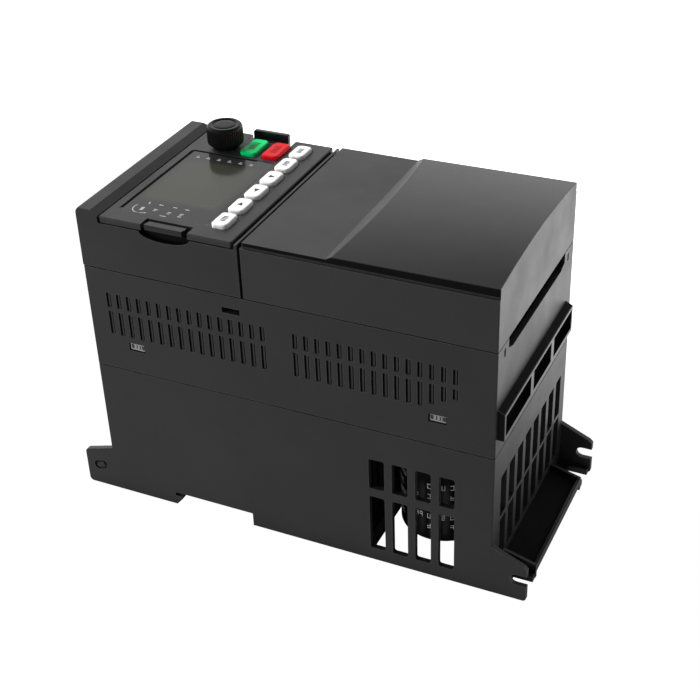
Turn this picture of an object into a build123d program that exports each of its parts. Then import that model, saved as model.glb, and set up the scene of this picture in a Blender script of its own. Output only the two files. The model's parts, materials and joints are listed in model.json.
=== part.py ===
"""Compact variable frequency drive for a 35 mm rail or a panel, lying on its back.

Millimetres. +Z runs from the mounting plane to the keypad, +X from the fan end to the
cable end, +Y across the width. The origin is the middle of the footprint, on the
mounting plane.
"""
import math
import os

from build123d import *

# ---------------------------------------------------------------- driving dimensions
WIDTH = 85.0                 # body, along Y
OVERALL_LENGTH = 190.0       # ear tip to ear tip, along X
EAR_REACH_FAN = 13.2         # ears beyond the fan end face
EAR_REACH_CABLE = 13.5       # ears beyond the cable end face
BASE_TOP = 61.4              # seam between base and middle housing
MIDDLE_TOP = 105.3           # seam between middle and upper housings
KEYPAD_TOP = 127.2           # face of the keypad
WALL = 2.2                   # housing wall thickness
SEAM = 0.2                   # half of the gap at each seam
CORNER_R = 0.6               # upright corners of the housings

HALF_WIDTH = WIDTH / 2
INNER_Y = HALF_WIDTH - WALL
FAN_END = -OVERALL_LENGTH / 2 + EAR_REACH_FAN
CABLE_END = OVERALL_LENGTH / 2 - EAR_REACH_CABLE
BODY_LENGTH = CABLE_END - FAN_END
BODY_MID = (CABLE_END + FAN_END) / 2
TOUCH = 0.05                 # small overlap that joins features of one piece

# Positions along the body, from the fan end face
KEYPAD_START = 9.5
KEYPAD_END = 64.3
COVER_START = 67.5
STRIP_GAP = 1.3              # between the keypad and the strip beside the cover
EDGE_GAP = 0.9               # between that strip and the cover
STRIP_DROP = 0.4             # top of the strip below the keypad face
BAY_START = 113.6            # open capacitor bay, to the cable end

# 35 mm rail channel
RAIL_START = 28.4
RAIL_END = 63.8
RAIL_DEPTH = 5.9
FLOOR_TOP = 8.0

# Panel screws
SCREW_X = 88.5               # fan-end holes, from the origin
SCREW_Y = 35.0
SCREW_R = 2.25
FLANGE = 3.0                 # thickness of the fan-end flange
WEB = 2.6                    # thickness of the slotted webs at the cable end
SLOT_START = 5.2             # open slots at the cable end, from the end face
SLOT_WIDTH = 6.6

# Circuit boards
BOARD = 1.6
POWER_BOARD_Z = 62.6
CONTROL_BOARD_Z = 92.0
KEY_BOARD_Z = 120.6

# Keys
KEY_PITCH = 12.2
KEY_TRAVEL = 0.8
KEY_HEIGHT = 1.5             # above the keypad face
KEY_GAP = 0.35
KEY_CORNER = 2.0

# Knob
KNOB_R = 7.2
KNOB_TOP = 9.6               # above the keypad face
KNOB_SKIRT = 1.9             # gap under the grip
COLLAR_R = 5.4
SHAFT_R = 3.0

# Fan
FAN_SIZE = 50.0
FAN_DEPTH = 15.0
FAN_Z = 34.0
FAN_START = 5.0
FAN_BORE_R = 23.2
FAN_PIN_R = 1.5

os.makedirs("parts", exist_ok=True)


def along(distance):
    """X of a point given by its distance from the fan end face."""
    return FAN_END + distance


def save(builder, name):
    """Label one finished piece and write its STEP file."""
    builder.part.label = name
    export_step(builder.part, f"parts/{name}.step")


def block(x_range, y_range, z_range, mode=Mode.ADD):
    """Box between three pairs of limits, in the running part."""
    sizes = [high - low for low, high in (x_range, y_range, z_range)]
    centre = [(high + low) / 2 for low, high in (x_range, y_range, z_range)]
    with Locations(tuple(centre)):
        Box(*sizes, mode=mode)


def side_windows(openings, radius, depth):
    """Round-cornered openings cut into both long sides, depth into the body.

    Each opening is a pair of X limits and a pair of Z limits.
    """
    for side in (-1, 1):
        plane = Plane(origin=(0, side * HALF_WIDTH, 0), x_dir=(1, 0, 0), z_dir=(0, side, 0))
        with BuildSketch(plane) as outline:
            for x_range, z_range in openings:
                # The sketch's own Y axis points down on one side and up on the other
                middle_z = -side * (z_range[0] + z_range[1]) / 2
                with Locations(((x_range[0] + x_range[1]) / 2, middle_z)):
                    RectangleRounded(x_range[1] - x_range[0], z_range[1] - z_range[0], radius)
        extrude(outline.sketch, amount=-depth, mode=Mode.SUBTRACT)


# ---------------------------------------------------------------- base housing
VENT_PITCH = 9.2
VENT_WIDTH = 6.2
VENT_ROWS = ((5.6, 30.7), (34.4, 47.9))
VENT_COUNT = 4
VENT_START = 114.8
GRILLE_COUNT = 8
GRILLE_ROWS = ((9.8, 28.0), (29.6, 47.9))
GRILLE_SLOT = 6.4
EAR_THICK = 2.0
EAR_TOP = 21.4
EAR_TIP_TOP = 15.8
FAN_EAR_TOP = 20.0
FAN_EAR_TIP_TOP = 16.0
FAN_EAR_CORNER = 1.8
NOTCH_Z = 9.2
NOTCH_R = 2.4
NOTCH_DEPTH = 6.4
TRAY_HALF = 28.9
TRAY_REACH = 12.9
TRAY_INNER_Z = 7.6
TRAY_OUTER_Z = 4.0
TRAY_THICK = 1.6
TRAY_RIM = 1.9               # side ribs and outer lip above the tray
FAN_DOOR_HALF = 27.0
FAN_DOOR_BOTTOM = 9.0
FAN_DOOR_TOP = 58.0

with BuildPart() as base_housing:
    with BuildSketch():
        with Locations((BODY_MID, 0)):
            RectangleRounded(BODY_LENGTH, WIDTH, CORNER_R)
    extrude(amount=BASE_TOP - SEAM)
    block((along(WALL), CABLE_END - WALL), (-INNER_Y, INNER_Y), (FLOOR_TOP, BASE_TOP + 1), Mode.SUBTRACT)
    # Open bottom of the capacitor bay
    block((along(BAY_START), CABLE_END - WALL), (-INNER_Y, INNER_Y), (-1, FLOOR_TOP + 1), Mode.SUBTRACT)
    # Hollow underside, left and right of the rail channel
    for start, end in ((WALL, 21.0), (86.0, BAY_START - WALL)):
        block((along(start), along(end)), (-INNER_Y, INNER_Y), (-1, FLOOR_TOP - WALL), Mode.SUBTRACT)
    # Rail channel with a fixed hook on the fan side
    with BuildSketch(Plane.XZ.offset(-HALF_WIDTH - 1)):
        with BuildLine():
            Polyline(
                (along(RAIL_START + 0.4), -1),
                (along(RAIL_START + 0.4), 0),
                (along(RAIL_START + 3.0), 3.0),
                (along(RAIL_START + 3.0), 4.2),
                (along(RAIL_START), 4.2),
                (along(RAIL_START), RAIL_DEPTH),
                (along(RAIL_END), RAIL_DEPTH),
                (along(RAIL_END), -1),
                close=True,
            )
        make_face()
    extrude(amount=WIDTH + 2, mode=Mode.SUBTRACT)
    # Guide for the sliding rail clip: a slot with a lip under each edge
    block((along(RAIL_END - 1), along(84.0)), (-9.4, 9.4), (1.9, RAIL_DEPTH), Mode.SUBTRACT)
    block((along(RAIL_END - 1), along(84.0)), (-7.6, 7.6), (-1, RAIL_DEPTH), Mode.SUBTRACT)
    # Lip that the middle housing slides over
    with BuildSketch(Plane.XY.offset(BASE_TOP - 2.4)):
        with Locations((BODY_MID, 0)):
            Rectangle(BODY_LENGTH - 2 * WALL + TOUCH, 2 * INNER_Y + TOUCH)
            Rectangle(BODY_LENGTH - 2 * WALL - 2.2, 2 * INNER_Y - 2.2, mode=Mode.SUBTRACT)
    extrude(amount=2.2)
    with BuildSketch(Plane.XY.offset(BASE_TOP - 0.2 - TOUCH)):
        with Locations((BODY_MID, 0)):
            Rectangle(BODY_LENGTH - 2 * WALL - 0.2, 2 * INNER_Y - 0.2)
            Rectangle(BODY_LENGTH - 2 * WALL - 2.2, 2 * INNER_Y - 2.2, mode=Mode.SUBTRACT)
    extrude(amount=2.0)
    # Side windows of the capacitor bay
    vent_starts = [along(VENT_START + column * VENT_PITCH) for column in range(VENT_COUNT)]
    side_windows([((start, start + VENT_WIDTH), row) for start in vent_starts for row in VENT_ROWS],
                 0.9, WALL + 0.3)
    # Cable-end grille
    for row in GRILLE_ROWS:
        with BuildSketch(Plane.YZ.offset(CABLE_END + 1)):
            with Locations((0.7, (row[0] + row[1]) / 2)):
                with GridLocations(VENT_PITCH, 1, GRILLE_COUNT, 1):
                    RectangleRounded(GRILLE_SLOT, row[1] - row[0], 0.9)
        extrude(amount=-WALL - 2, mode=Mode.SUBTRACT)
    # Fan door opening
    block((FAN_END - 1, along(WALL + 0.5)), (-FAN_DOOR_HALF, FAN_DOOR_HALF),
          (FAN_DOOR_BOTTOM, FAN_DOOR_TOP), Mode.SUBTRACT)
    # Cable-end ears: upright plates with an open notch
    for side in (-1, 1):
        face = side * HALF_WIDTH
        inner = side * (HALF_WIDTH - EAR_THICK)
        with BuildSketch(Plane.XZ.offset(-min(face, inner))):
            with BuildLine():
                Polyline(
                    (CABLE_END - 1.5, 0),
                    (CABLE_END - 1.5, EAR_TOP),
                    (CABLE_END, EAR_TOP),
                    (CABLE_END + EAR_REACH_CABLE - 1.2, EAR_TIP_TOP),
                    (CABLE_END + EAR_REACH_CABLE, EAR_TIP_TOP - 1.2),
                    (CABLE_END + EAR_REACH_CABLE, 0.8),
                    (CABLE_END + EAR_REACH_CABLE - 0.8, 0),
                    close=True,
                )
            make_face()
            notch_x = CABLE_END + EAR_REACH_CABLE - NOTCH_DEPTH + NOTCH_R
            with Locations((notch_x, NOTCH_Z)):
                Circle(NOTCH_R, mode=Mode.SUBTRACT)
            with Locations((notch_x + NOTCH_DEPTH / 2, NOTCH_Z)):
                Rectangle(NOTCH_DEPTH, 2 * NOTCH_R, mode=Mode.SUBTRACT)
        extrude(amount=-EAR_THICK)
    # Sloping tray between the cable-end ears
    with BuildSketch(Plane.XZ.offset(-TRAY_HALF)):
        with BuildLine():
            Polyline(
                (CABLE_END - TOUCH, TRAY_INNER_Z),
                (CABLE_END + TRAY_REACH - 1.2, TRAY_OUTER_Z),
                (CABLE_END + TRAY_REACH - 1.2, TRAY_OUTER_Z + TRAY_RIM),
                (CABLE_END + TRAY_REACH, TRAY_OUTER_Z + TRAY_RIM),
                (CABLE_END + TRAY_REACH, TRAY_OUTER_Z - TRAY_THICK),
                (CABLE_END - TOUCH, TRAY_INNER_Z - TRAY_THICK),
                close=True,
            )
        make_face()
    extrude(amount=2 * TRAY_HALF)
    # Tray side ribs, standing a little proud of the tray
    for side in (-1, 1):
        with BuildSketch(Plane.XZ.offset(side * TRAY_HALF)):
            with BuildLine():
                Polyline(
                    (CABLE_END - TOUCH, 0),
                    (CABLE_END - TOUCH, TRAY_INNER_Z + TRAY_RIM),
                    (CABLE_END + TRAY_REACH, TRAY_OUTER_Z + TRAY_RIM),
                    (CABLE_END + TRAY_REACH, 0),
                    close=True,
                )
            make_face()
        extrude(amount=-side * 1.3)
    # Web between each rib and ear, with an open slot for a screw
    for side in (-1, 1):
        web = sorted((side * (TRAY_HALF - TOUCH), side * (HALF_WIDTH - 1)))
        slot = sorted((side * (SCREW_Y - SLOT_WIDTH / 2), side * (SCREW_Y + SLOT_WIDTH / 2)))
        block((CABLE_END - TOUCH, CABLE_END + TRAY_REACH - 0.2), web, (0, WEB))
        block((CABLE_END + SLOT_START, CABLE_END + TRAY_REACH + 1), slot, (-1, WEB + 1), Mode.SUBTRACT)
    # Fan-end ears: upright plates on a flange
    for side in (-1, 1):
        face = side * HALF_WIDTH
        inner = side * (HALF_WIDTH - EAR_THICK)
        with BuildSketch(Plane.XZ.offset(-min(face, inner))) as ear:
            with BuildLine():
                Polyline(
                    (FAN_END + 1.5, 0),
                    (FAN_END + 1.5, FAN_EAR_TOP),
                    (FAN_END, FAN_EAR_TOP),
                    (FAN_END - EAR_REACH_FAN, FAN_EAR_TIP_TOP),
                    (FAN_END - EAR_REACH_FAN, 0),
                    close=True,
                )
            make_face()
            fillet(ear.vertices().sort_by(Axis.X)[:2], FAN_EAR_CORNER)
        extrude(amount=-EAR_THICK)
        # Blind pressed slot on the outside of each ear
        outward = Plane(origin=(FAN_END - 6.6, face, 9.7), x_dir=(1, 0, 0), z_dir=(0, side, 0))
        with BuildSketch(outward):
            SlotOverall(6.4, 4.4, rotation=-20 * side)
            SlotOverall(4.0, 2.0, rotation=-20 * side, mode=Mode.SUBTRACT)
        extrude(amount=-1.0, mode=Mode.SUBTRACT)
    block((FAN_END - EAR_REACH_FAN + 1.0, FAN_END + 0.5),
          (-HALF_WIDTH + 1, HALF_WIDTH - 1), (0, FLANGE))
    # Panel screw holes
    with BuildSketch(Plane.XY.offset(-1)):
        with Locations((-SCREW_X, -SCREW_Y), (-SCREW_X, SCREW_Y)):
            Circle(SCREW_R)
    extrude(amount=FLANGE + 2, mode=Mode.SUBTRACT)
save(base_housing, "base_housing")

# ---------------------------------------------------------------- middle housing
LOUVRE_WIDTH = 2.0
LOUVRE_DEPTH = 0.45
LOUVRE_ROWS = ((77.0, 87.3), (88.9, 95.3))
LOUVRE_GROUPS = ((8.35, 4.33, 16, 16), (86.35, 4.36, 15, 12))   # start, pitch, columns, full-length columns
LOUVRE_STEP = 1.9
HOOD_REACH = 2.9
HOOD_Y = (-41.5, 36.4)
HOOD_Z = (69.3, 82.0)
HOOD_OPENINGS = ((-40.4, -13.3), (-10.3, 10.1), (13.2, 35.2))
HOOD_OPENING_Z = (70.9, 79.3)
CONTROL_SLOT_HALF = 31.5
CONTROL_SLOT_BOTTOM = 99.6
CLIP_WINDOWS = (15.7, 138.3)
CLIP_SIZE = (7.0, 3.4)
CLIP_Z = 71.2


def louvre_outlines():
    """X and Z limits of every louvre on one side: two groups of columns in two rows.

    The lower louvres at the end of the cable-end group get shorter one by one.
    """
    outlines = []
    for start, pitch, count, full in LOUVRE_GROUPS:
        for column in range(count):
            left = along(start + column * pitch)
            shorter = LOUVRE_STEP * max(0, column + 1 - full)
            low, high = LOUVRE_ROWS[0]
            outlines.append(((left, left + LOUVRE_WIDTH), (low + shorter, high)))
            outlines.append(((left, left + LOUVRE_WIDTH), LOUVRE_ROWS[1]))
    return outlines


with BuildPart() as middle_housing:
    with BuildSketch(Plane.XY.offset(BASE_TOP + SEAM)):
        with Locations((BODY_MID, 0)):
            RectangleRounded(BODY_LENGTH, WIDTH, CORNER_R)
    extrude(amount=MIDDLE_TOP - BASE_TOP - 2 * SEAM)
    block((along(WALL), CABLE_END - WALL), (-INNER_Y, INNER_Y),
          (BASE_TOP - 1, MIDDLE_TOP + 1), Mode.SUBTRACT)
    # Lip that the upper housing and the terminal cover drop over
    with BuildSketch(Plane.XY.offset(MIDDLE_TOP - 2.4)):
        with Locations((BODY_MID, 0)):
            Rectangle(BODY_LENGTH - 2 * WALL + TOUCH, 2 * INNER_Y + TOUCH)
            Rectangle(BODY_LENGTH - 2 * WALL - 3.0, 2 * INNER_Y - 3.0, mode=Mode.SUBTRACT)
    extrude(amount=2.2)
    with BuildSketch(Plane.XY.offset(MIDDLE_TOP - 0.2 - TOUCH)):
        with Locations((BODY_MID, 0)):
            Rectangle(BODY_LENGTH - 2 * WALL - 0.8, 2 * INNER_Y - 0.8)
            Rectangle(BODY_LENGTH - 2 * WALL - 3.0, 2 * INNER_Y - 3.0, mode=Mode.SUBTRACT)
            # Gaps for the walls where the upper housing and the cover meet
            with Locations((along(COVER_START - 0.3), 0)):
                Rectangle(7.0, WIDTH, mode=Mode.SUBTRACT)
    extrude(amount=1.6)
    # Louvres pressed into both long sides
    side_windows(louvre_outlines(), 0.5, LOUVRE_DEPTH)
    # Unlocking slot below the keypad, and the two clip windows
    through = [((along(58.3), along(65.7)), (97.8, 100.1))]
    for start in CLIP_WINDOWS:
        through.append(((along(start), along(start + CLIP_SIZE[0])), (CLIP_Z, CLIP_Z + CLIP_SIZE[1])))
    side_windows(through, 0.3, WALL + 0.3)
    # Hood over the power cable openings
    with BuildSketch(Plane.XZ.offset(-HOOD_Y[1])):
        with BuildLine():
            Polyline(
                (CABLE_END - TOUCH, HOOD_Z[0]),
                (CABLE_END + HOOD_REACH, HOOD_Z[0]),
                (CABLE_END + HOOD_REACH, HOOD_Z[1] - 1.6),
                (CABLE_END - TOUCH, HOOD_Z[1]),
                close=True,
            )
        make_face()
    extrude(amount=HOOD_Y[1] - HOOD_Y[0])
    for low, high in HOOD_OPENINGS:
        block((CABLE_END - WALL - 0.5, CABLE_END + HOOD_REACH + 1), (low, high),
              HOOD_OPENING_Z, Mode.SUBTRACT)
    # Control cable slot with bevelled lower corners, and a small slot beside each end
    with BuildSketch(Plane.YZ.offset(CABLE_END + 1)):
        with BuildLine():
            Polyline(
                (-CONTROL_SLOT_HALF, MIDDLE_TOP + 3),
                (-CONTROL_SLOT_HALF, CONTROL_SLOT_BOTTOM + 1.6),
                (-CONTROL_SLOT_HALF + 4.6, CONTROL_SLOT_BOTTOM),
                (CONTROL_SLOT_HALF - 4.6, CONTROL_SLOT_BOTTOM),
                (CONTROL_SLOT_HALF, CONTROL_SLOT_BOTTOM + 1.6),
                (CONTROL_SLOT_HALF, MIDDLE_TOP + 3),
                close=True,
            )
        make_face()
        with Locations((-35.5, 101.6), (35.5, 101.6)):
            RectangleRounded(1.5, 3.4, 0.6)
    extrude(amount=-WALL - 4, mode=Mode.SUBTRACT)
save(middle_housing, "middle_housing")

# ---------------------------------------------------------------- upper housing
UPPER_BOTTOM = MIDDLE_TOP + SEAM
SHELF = 124.6                # wall top under the keypad
RIDGE_TOP = 128.9
RIDGE_FLAT = 5.9             # end of the flat top, before the slope down to the keypad
DECK_TOP = 113.0
RECESS_X = {-1: 37.0, 1: 38.4}

with BuildPart() as upper_housing:
    with BuildSketch(Plane.XZ.offset(-HALF_WIDTH)):
        with BuildLine():
            Polyline(
                (along(0), UPPER_BOTTOM),
                (along(0), RIDGE_TOP - 0.9),
                (along(0.5), RIDGE_TOP),
                (along(RIDGE_FLAT), RIDGE_TOP),
                (along(KEYPAD_START - 0.4), KEYPAD_TOP - 0.1),
                (along(KEYPAD_START - 0.2), SHELF),
                (along(KEYPAD_END + STRIP_GAP), SHELF),
                (along(KEYPAD_END + STRIP_GAP), KEYPAD_TOP - STRIP_DROP),
                (along(COVER_START - EDGE_GAP), KEYPAD_TOP - STRIP_DROP),
                (along(COVER_START - EDGE_GAP), UPPER_BOTTOM),
                close=True,
            )
        make_face()
    extrude(amount=WIDTH)
    # Sloping cheeks at both ends of the ridge
    for side in (-1, 1):
        with BuildSketch(Plane.YZ.offset(along(-1))):
            with BuildLine():
                Polyline(
                    (side * (HALF_WIDTH + 1), RIDGE_TOP - 1.4),
                    (side * HALF_WIDTH, RIDGE_TOP - 1.4),
                    (side * (HALF_WIDTH - 1.0), RIDGE_TOP + 0.1),
                    (side * (HALF_WIDTH + 1), RIDGE_TOP + 0.1),
                    close=True,
                )
            make_face()
        extrude(amount=KEYPAD_START, mode=Mode.SUBTRACT)
    # Hollow below the deck, and the keypad pocket above it
    block((along(WALL), along(COVER_START - EDGE_GAP - WALL)), (-INNER_Y, INNER_Y),
          (UPPER_BOTTOM - 1, DECK_TOP - WALL), Mode.SUBTRACT)
    block((along(KEYPAD_START + 1.0), along(KEYPAD_END - 1.0)), (-INNER_Y, INNER_Y),
          (DECK_TOP, SHELF + 1), Mode.SUBTRACT)
    block((along(WALL), along(RIDGE_FLAT + 1.0)), (-INNER_Y + 2, INNER_Y - 2),
          (DECK_TOP, RIDGE_TOP - WALL), Mode.SUBTRACT)
    # Connector opening in the deck
    block((along(30.0), along(42.0)), (-10, 10), (DECK_TOP - 4, DECK_TOP + 1), Mode.SUBTRACT)
    # Finger recess below each keypad latch
    for side in (-1, 1):
        plane = Plane(origin=(along(RECESS_X[side]), side * (HALF_WIDTH + 1), SHELF),
                      x_dir=(1, 0, 0), z_dir=(0, side, 0))
        with BuildSketch(plane):
            Ellipse(10.4, 3.1)
        extrude(amount=-WALL - 1.3, mode=Mode.SUBTRACT)
save(upper_housing, "upper_housing")

# ---------------------------------------------------------------- terminal cover
COVER_SHOULDER = 125.6
PAD_TOP = 127.8
ARCH_START = 100.5
ARCH_INSET = 0.9
ARCH_EDGE = (128.9, 129.5)
ARCH_CROWN = (130.5, 132.1)
BEVEL_ANGLE = 28.0


def arch_face(x, edge_z, crown_z):
    """Cross-section of the raised panel: straight sides under a shallow arc."""
    half = HALF_WIDTH - ARCH_INSET
    with BuildSketch(Plane.YZ.offset(x)) as section:
        with BuildLine():
            Polyline((-half, edge_z), (-half, COVER_SHOULDER - 0.4), (half, COVER_SHOULDER - 0.4), (half, edge_z))
            ThreePointArc((half, edge_z), (0, crown_z), (-half, edge_z))
        make_face()
    return section.sketch


arch_sections = [
    arch_face(along(ARCH_START - 4), ARCH_EDGE[0], ARCH_CROWN[0]),
    arch_face(CABLE_END, ARCH_EDGE[1], ARCH_CROWN[1]),
]

with BuildPart() as terminal_cover:
    loft(sections=arch_sections)
    # Bevel that rises from the flat pad to the arch
    rise = 12.0
    with BuildSketch(Plane.XZ.offset(-HALF_WIDTH)):
        with BuildLine():
            Polyline(
                (along(ARCH_START - 6), PAD_TOP),
                (along(ARCH_START), PAD_TOP),
                (along(ARCH_START + rise / math.tan(math.radians(BEVEL_ANGLE))), PAD_TOP + rise),
                (along(ARCH_START - 6), PAD_TOP + rise),
                close=True,
            )
        make_face()
    extrude(amount=WIDTH, mode=Mode.SUBTRACT)
    # Flat pad and side shell
    block((along(COVER_START + ARCH_INSET), along(ARCH_START)),
          (-HALF_WIDTH + ARCH_INSET, HALF_WIDTH - ARCH_INSET), (COVER_SHOULDER - 1, PAD_TOP))
    with BuildSketch(Plane.XY.offset(MIDDLE_TOP + SEAM)):
        with Locations(((along(COVER_START) + CABLE_END) / 2, 0)):
            RectangleRounded(CABLE_END - along(COVER_START), WIDTH, CORNER_R)
    extrude(amount=COVER_SHOULDER - MIDDLE_TOP - SEAM)
    block((along(COVER_START + 2), CABLE_END - 2), (-HALF_WIDTH + 2, HALF_WIDTH - 2),
          (MIDDLE_TOP - 1, COVER_SHOULDER - 0.4), Mode.SUBTRACT)
    block((along(ARCH_START + 8), CABLE_END - 2), (-HALF_WIDTH + 4, HALF_WIDTH - 4),
          (COVER_SHOULDER - 1, ARCH_EDGE[0] - 1.6), Mode.SUBTRACT)
    # Snap tongues inside the long sides
    for side in (-1, 1):
        tongue = sorted((side * (HALF_WIDTH - 4.2), side * (HALF_WIDTH - 5.6)))
        root = sorted((side * (HALF_WIDTH - 1.9), side * (HALF_WIDTH - 5.6)))
        for start in (84.0, 138.0):
            block((along(start), along(start + 8)), tongue, (MIDDLE_TOP - 7, MIDDLE_TOP + 5))
            block((along(start), along(start + 8)), root, (MIDDLE_TOP + 3, MIDDLE_TOP + 5))
save(terminal_cover, "terminal_cover")

# ---------------------------------------------------------------- keypad module
BEZEL_BOTTOM = SHELF + 0.3
FILM_X = (12.9, 49.6)
FILM_Y = (-34.1, 20.7)
FILM_RECESS = 0.4
DISPLAY_X = (17.2, 45.0)
DISPLAY_Y = (-21.5, 11.5)
KEY_X = (51.7, 58.2)
KEY_LENGTH = 10.2
FIRST_KEY_Y = -29.4          # centre of the key nearest the low-Y side
START_STOP_Y = (22.6, 36.0)
RUN_X = (32.5, 39.6)
STOP_X = (41.9, 49.0)
KNOB_X = 24.0
KNOB_Y = 27.8
LATCH_START = {-1: 28.6, 1: 30.0}
LATCH_LENGTH = 15.6
LATCH_NOTCH = (1.4, 2.4)     # notch beyond the two ends of each latch
LATCH_NOTCH_DEPTH = 5.6
LATCH_PIN_R = 1.0
LUG = 1.6                    # thickness of the lugs that hold the latch pins
LATCH_PIN_Y = 38.2
LATCH_PIN_Z = 116.0
SHELL_BOTTOM = 114.2
SHELL_HALF = 35.6

# Every key: name, X limits, Y limits
KEYS = [
    (f"key_{index + 1}", KEY_X,
     (FIRST_KEY_Y + index * KEY_PITCH - KEY_LENGTH / 2, FIRST_KEY_Y + index * KEY_PITCH + KEY_LENGTH / 2))
    for index in range(6)
]
KEYS.append(("run_key", RUN_X, START_STOP_Y))
KEYS.append(("stop_key", STOP_X, START_STOP_Y))


def centre(limits):
    """Middle of a pair of limits."""
    return (limits[0] + limits[1]) / 2


def span(limits):
    """Length between a pair of limits."""
    return limits[1] - limits[0]


def plan(x_range, y_range):
    """Plan position of the middle of a feature of the keypad."""
    return (along(centre(x_range)), centre(y_range))


with BuildPart() as keypad_bezel:
    with BuildSketch(Plane.XY.offset(BEZEL_BOTTOM)):
        with Locations((along((KEYPAD_START + KEYPAD_END) / 2), 0)):
            RectangleRounded(KEYPAD_END - KEYPAD_START, WIDTH - 1.0, 0.9)
    extrude(amount=KEYPAD_TOP - BEZEL_BOTTOM)
    chamfer(keypad_bezel.faces().sort_by(Axis.Z)[-1].edges(), 0.35)
    with BuildSketch(Plane.XY.offset(KEYPAD_TOP - FILM_RECESS)):
        with Locations(plan(FILM_X, FILM_Y)):
            RectangleRounded(span(FILM_X), span(FILM_Y), 1.6)
    extrude(amount=1, mode=Mode.SUBTRACT)
    with BuildSketch(Plane.XY.offset(BEZEL_BOTTOM - 1)):
        with Locations(plan(DISPLAY_X, DISPLAY_Y)):
            RectangleRounded(span(DISPLAY_X), span(DISPLAY_Y), 0.8)
        for _, x_range, y_range in KEYS:
            with Locations(plan(x_range, y_range)):
                RectangleRounded(span(x_range) + 2 * KEY_GAP, span(y_range) + 2 * KEY_GAP, KEY_CORNER + KEY_GAP)
        with Locations((along(KNOB_X), KNOB_Y)):
            Circle(SHAFT_R + 0.8)
        for side in (-1, 1):
            notch = (LATCH_START[side] - LATCH_NOTCH[0], LATCH_START[side] + LATCH_LENGTH + LATCH_NOTCH[1])
            with Locations((along(centre(notch)), side * HALF_WIDTH)):
                Rectangle(span(notch), 2 * LATCH_NOTCH_DEPTH)
    extrude(amount=6, mode=Mode.SUBTRACT)
save(keypad_bezel, "keypad_bezel")

with BuildPart() as keypad_rear_shell:
    shell_x = (KEYPAD_START + 2.4, KEYPAD_END - 2.4)
    block((along(shell_x[0]), along(shell_x[1])), (-SHELL_HALF, SHELL_HALF), (SHELL_BOTTOM, BEZEL_BOTTOM))
    block((along(shell_x[0] + 1.6), along(shell_x[1] - 1.6)), (-SHELL_HALF + 1.6, SHELL_HALF - 1.6),
          (SHELL_BOTTOM + 1.6, BEZEL_BOTTOM + 1), Mode.SUBTRACT)
    block((along(29.0), along(43.0)), (-11, 11), (SHELL_BOTTOM - 1, SHELL_BOTTOM + 3), Mode.SUBTRACT)
    # Lugs that carry the latch pins
    for side in (-1, 1):
        lug_y = sorted((side * (SHELL_HALF - TOUCH), side * (LATCH_PIN_Y + 1.7)))
        for start in (LATCH_START[side] - LUG - 0.3, LATCH_START[side] + LATCH_LENGTH + 0.3):
            block((along(start), along(start + LUG)), lug_y, (LATCH_PIN_Z - 1.8, LATCH_PIN_Z + 1.8))
        with BuildSketch(Plane.YZ.offset(along(LATCH_START[side] - 3))):
            with Locations((side * LATCH_PIN_Y, LATCH_PIN_Z)):
                Circle(LATCH_PIN_R)
        extrude(amount=LATCH_LENGTH + 6, mode=Mode.SUBTRACT)
save(keypad_rear_shell, "keypad_rear_shell")

with BuildPart() as latch_pins:
    for side in (-1, 1):
        with BuildSketch(Plane.YZ.offset(along(LATCH_START[side] - LUG - 0.3))):
            with Locations((side * LATCH_PIN_Y, LATCH_PIN_Z)):
                Circle(LATCH_PIN_R)
        extrude(amount=LATCH_LENGTH + 2 * LUG + 0.6)
save(latch_pins, "latch_pins")

with BuildPart() as window_film:
    with BuildSketch(Plane.XY.offset(KEYPAD_TOP - FILM_RECESS)):
        with Locations(plan(FILM_X, FILM_Y)):
            RectangleRounded(span(FILM_X) - 0.5, span(FILM_Y) - 0.5, 1.4)
    extrude(amount=0.25)
save(window_film, "window_film")

with BuildPart() as display_module:
    block((along(DISPLAY_X[0] + 0.4), along(DISPLAY_X[1] - 0.4)), (DISPLAY_Y[0] + 0.4, DISPLAY_Y[1] - 0.4),
          (KEY_BOARD_Z + BOARD, KEYPAD_TOP - FILM_RECESS - 0.2))
save(display_module, "display_module")

with BuildPart() as keypad_pcb:
    block((along(shell_x[0] + 1.9), along(shell_x[1] - 1.9)), (-SHELL_HALF + 1.9, SHELL_HALF - 1.9),
          (KEY_BOARD_Z, KEY_BOARD_Z + BOARD))
    with BuildSketch(Plane.XY.offset(KEY_BOARD_Z - 1)):
        with Locations((along(KNOB_X), KNOB_Y)):
            Circle(SHAFT_R + 0.6)
    extrude(amount=BOARD + 2, mode=Mode.SUBTRACT)
save(keypad_pcb, "keypad_pcb")

with BuildPart() as key_switches:
    for _, x_range, y_range in KEYS:
        middle = plan(x_range, y_range)
        block((middle[0] - 2.2, middle[0] + 2.2), (middle[1] - 2.2, middle[1] + 2.2),
              (KEY_BOARD_Z + BOARD, BEZEL_BOTTOM - 1.4))
save(key_switches, "key_switches")

with BuildPart() as status_leds:
    with BuildSketch(Plane.XY.offset(KEY_BOARD_Z + BOARD)):
        with Locations((along(31.1), 16.0)):
            with GridLocations(4.9, 1, 6, 1):
                Circle(1.0)
    extrude(amount=1.8)
save(status_leds, "status_leds")

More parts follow.
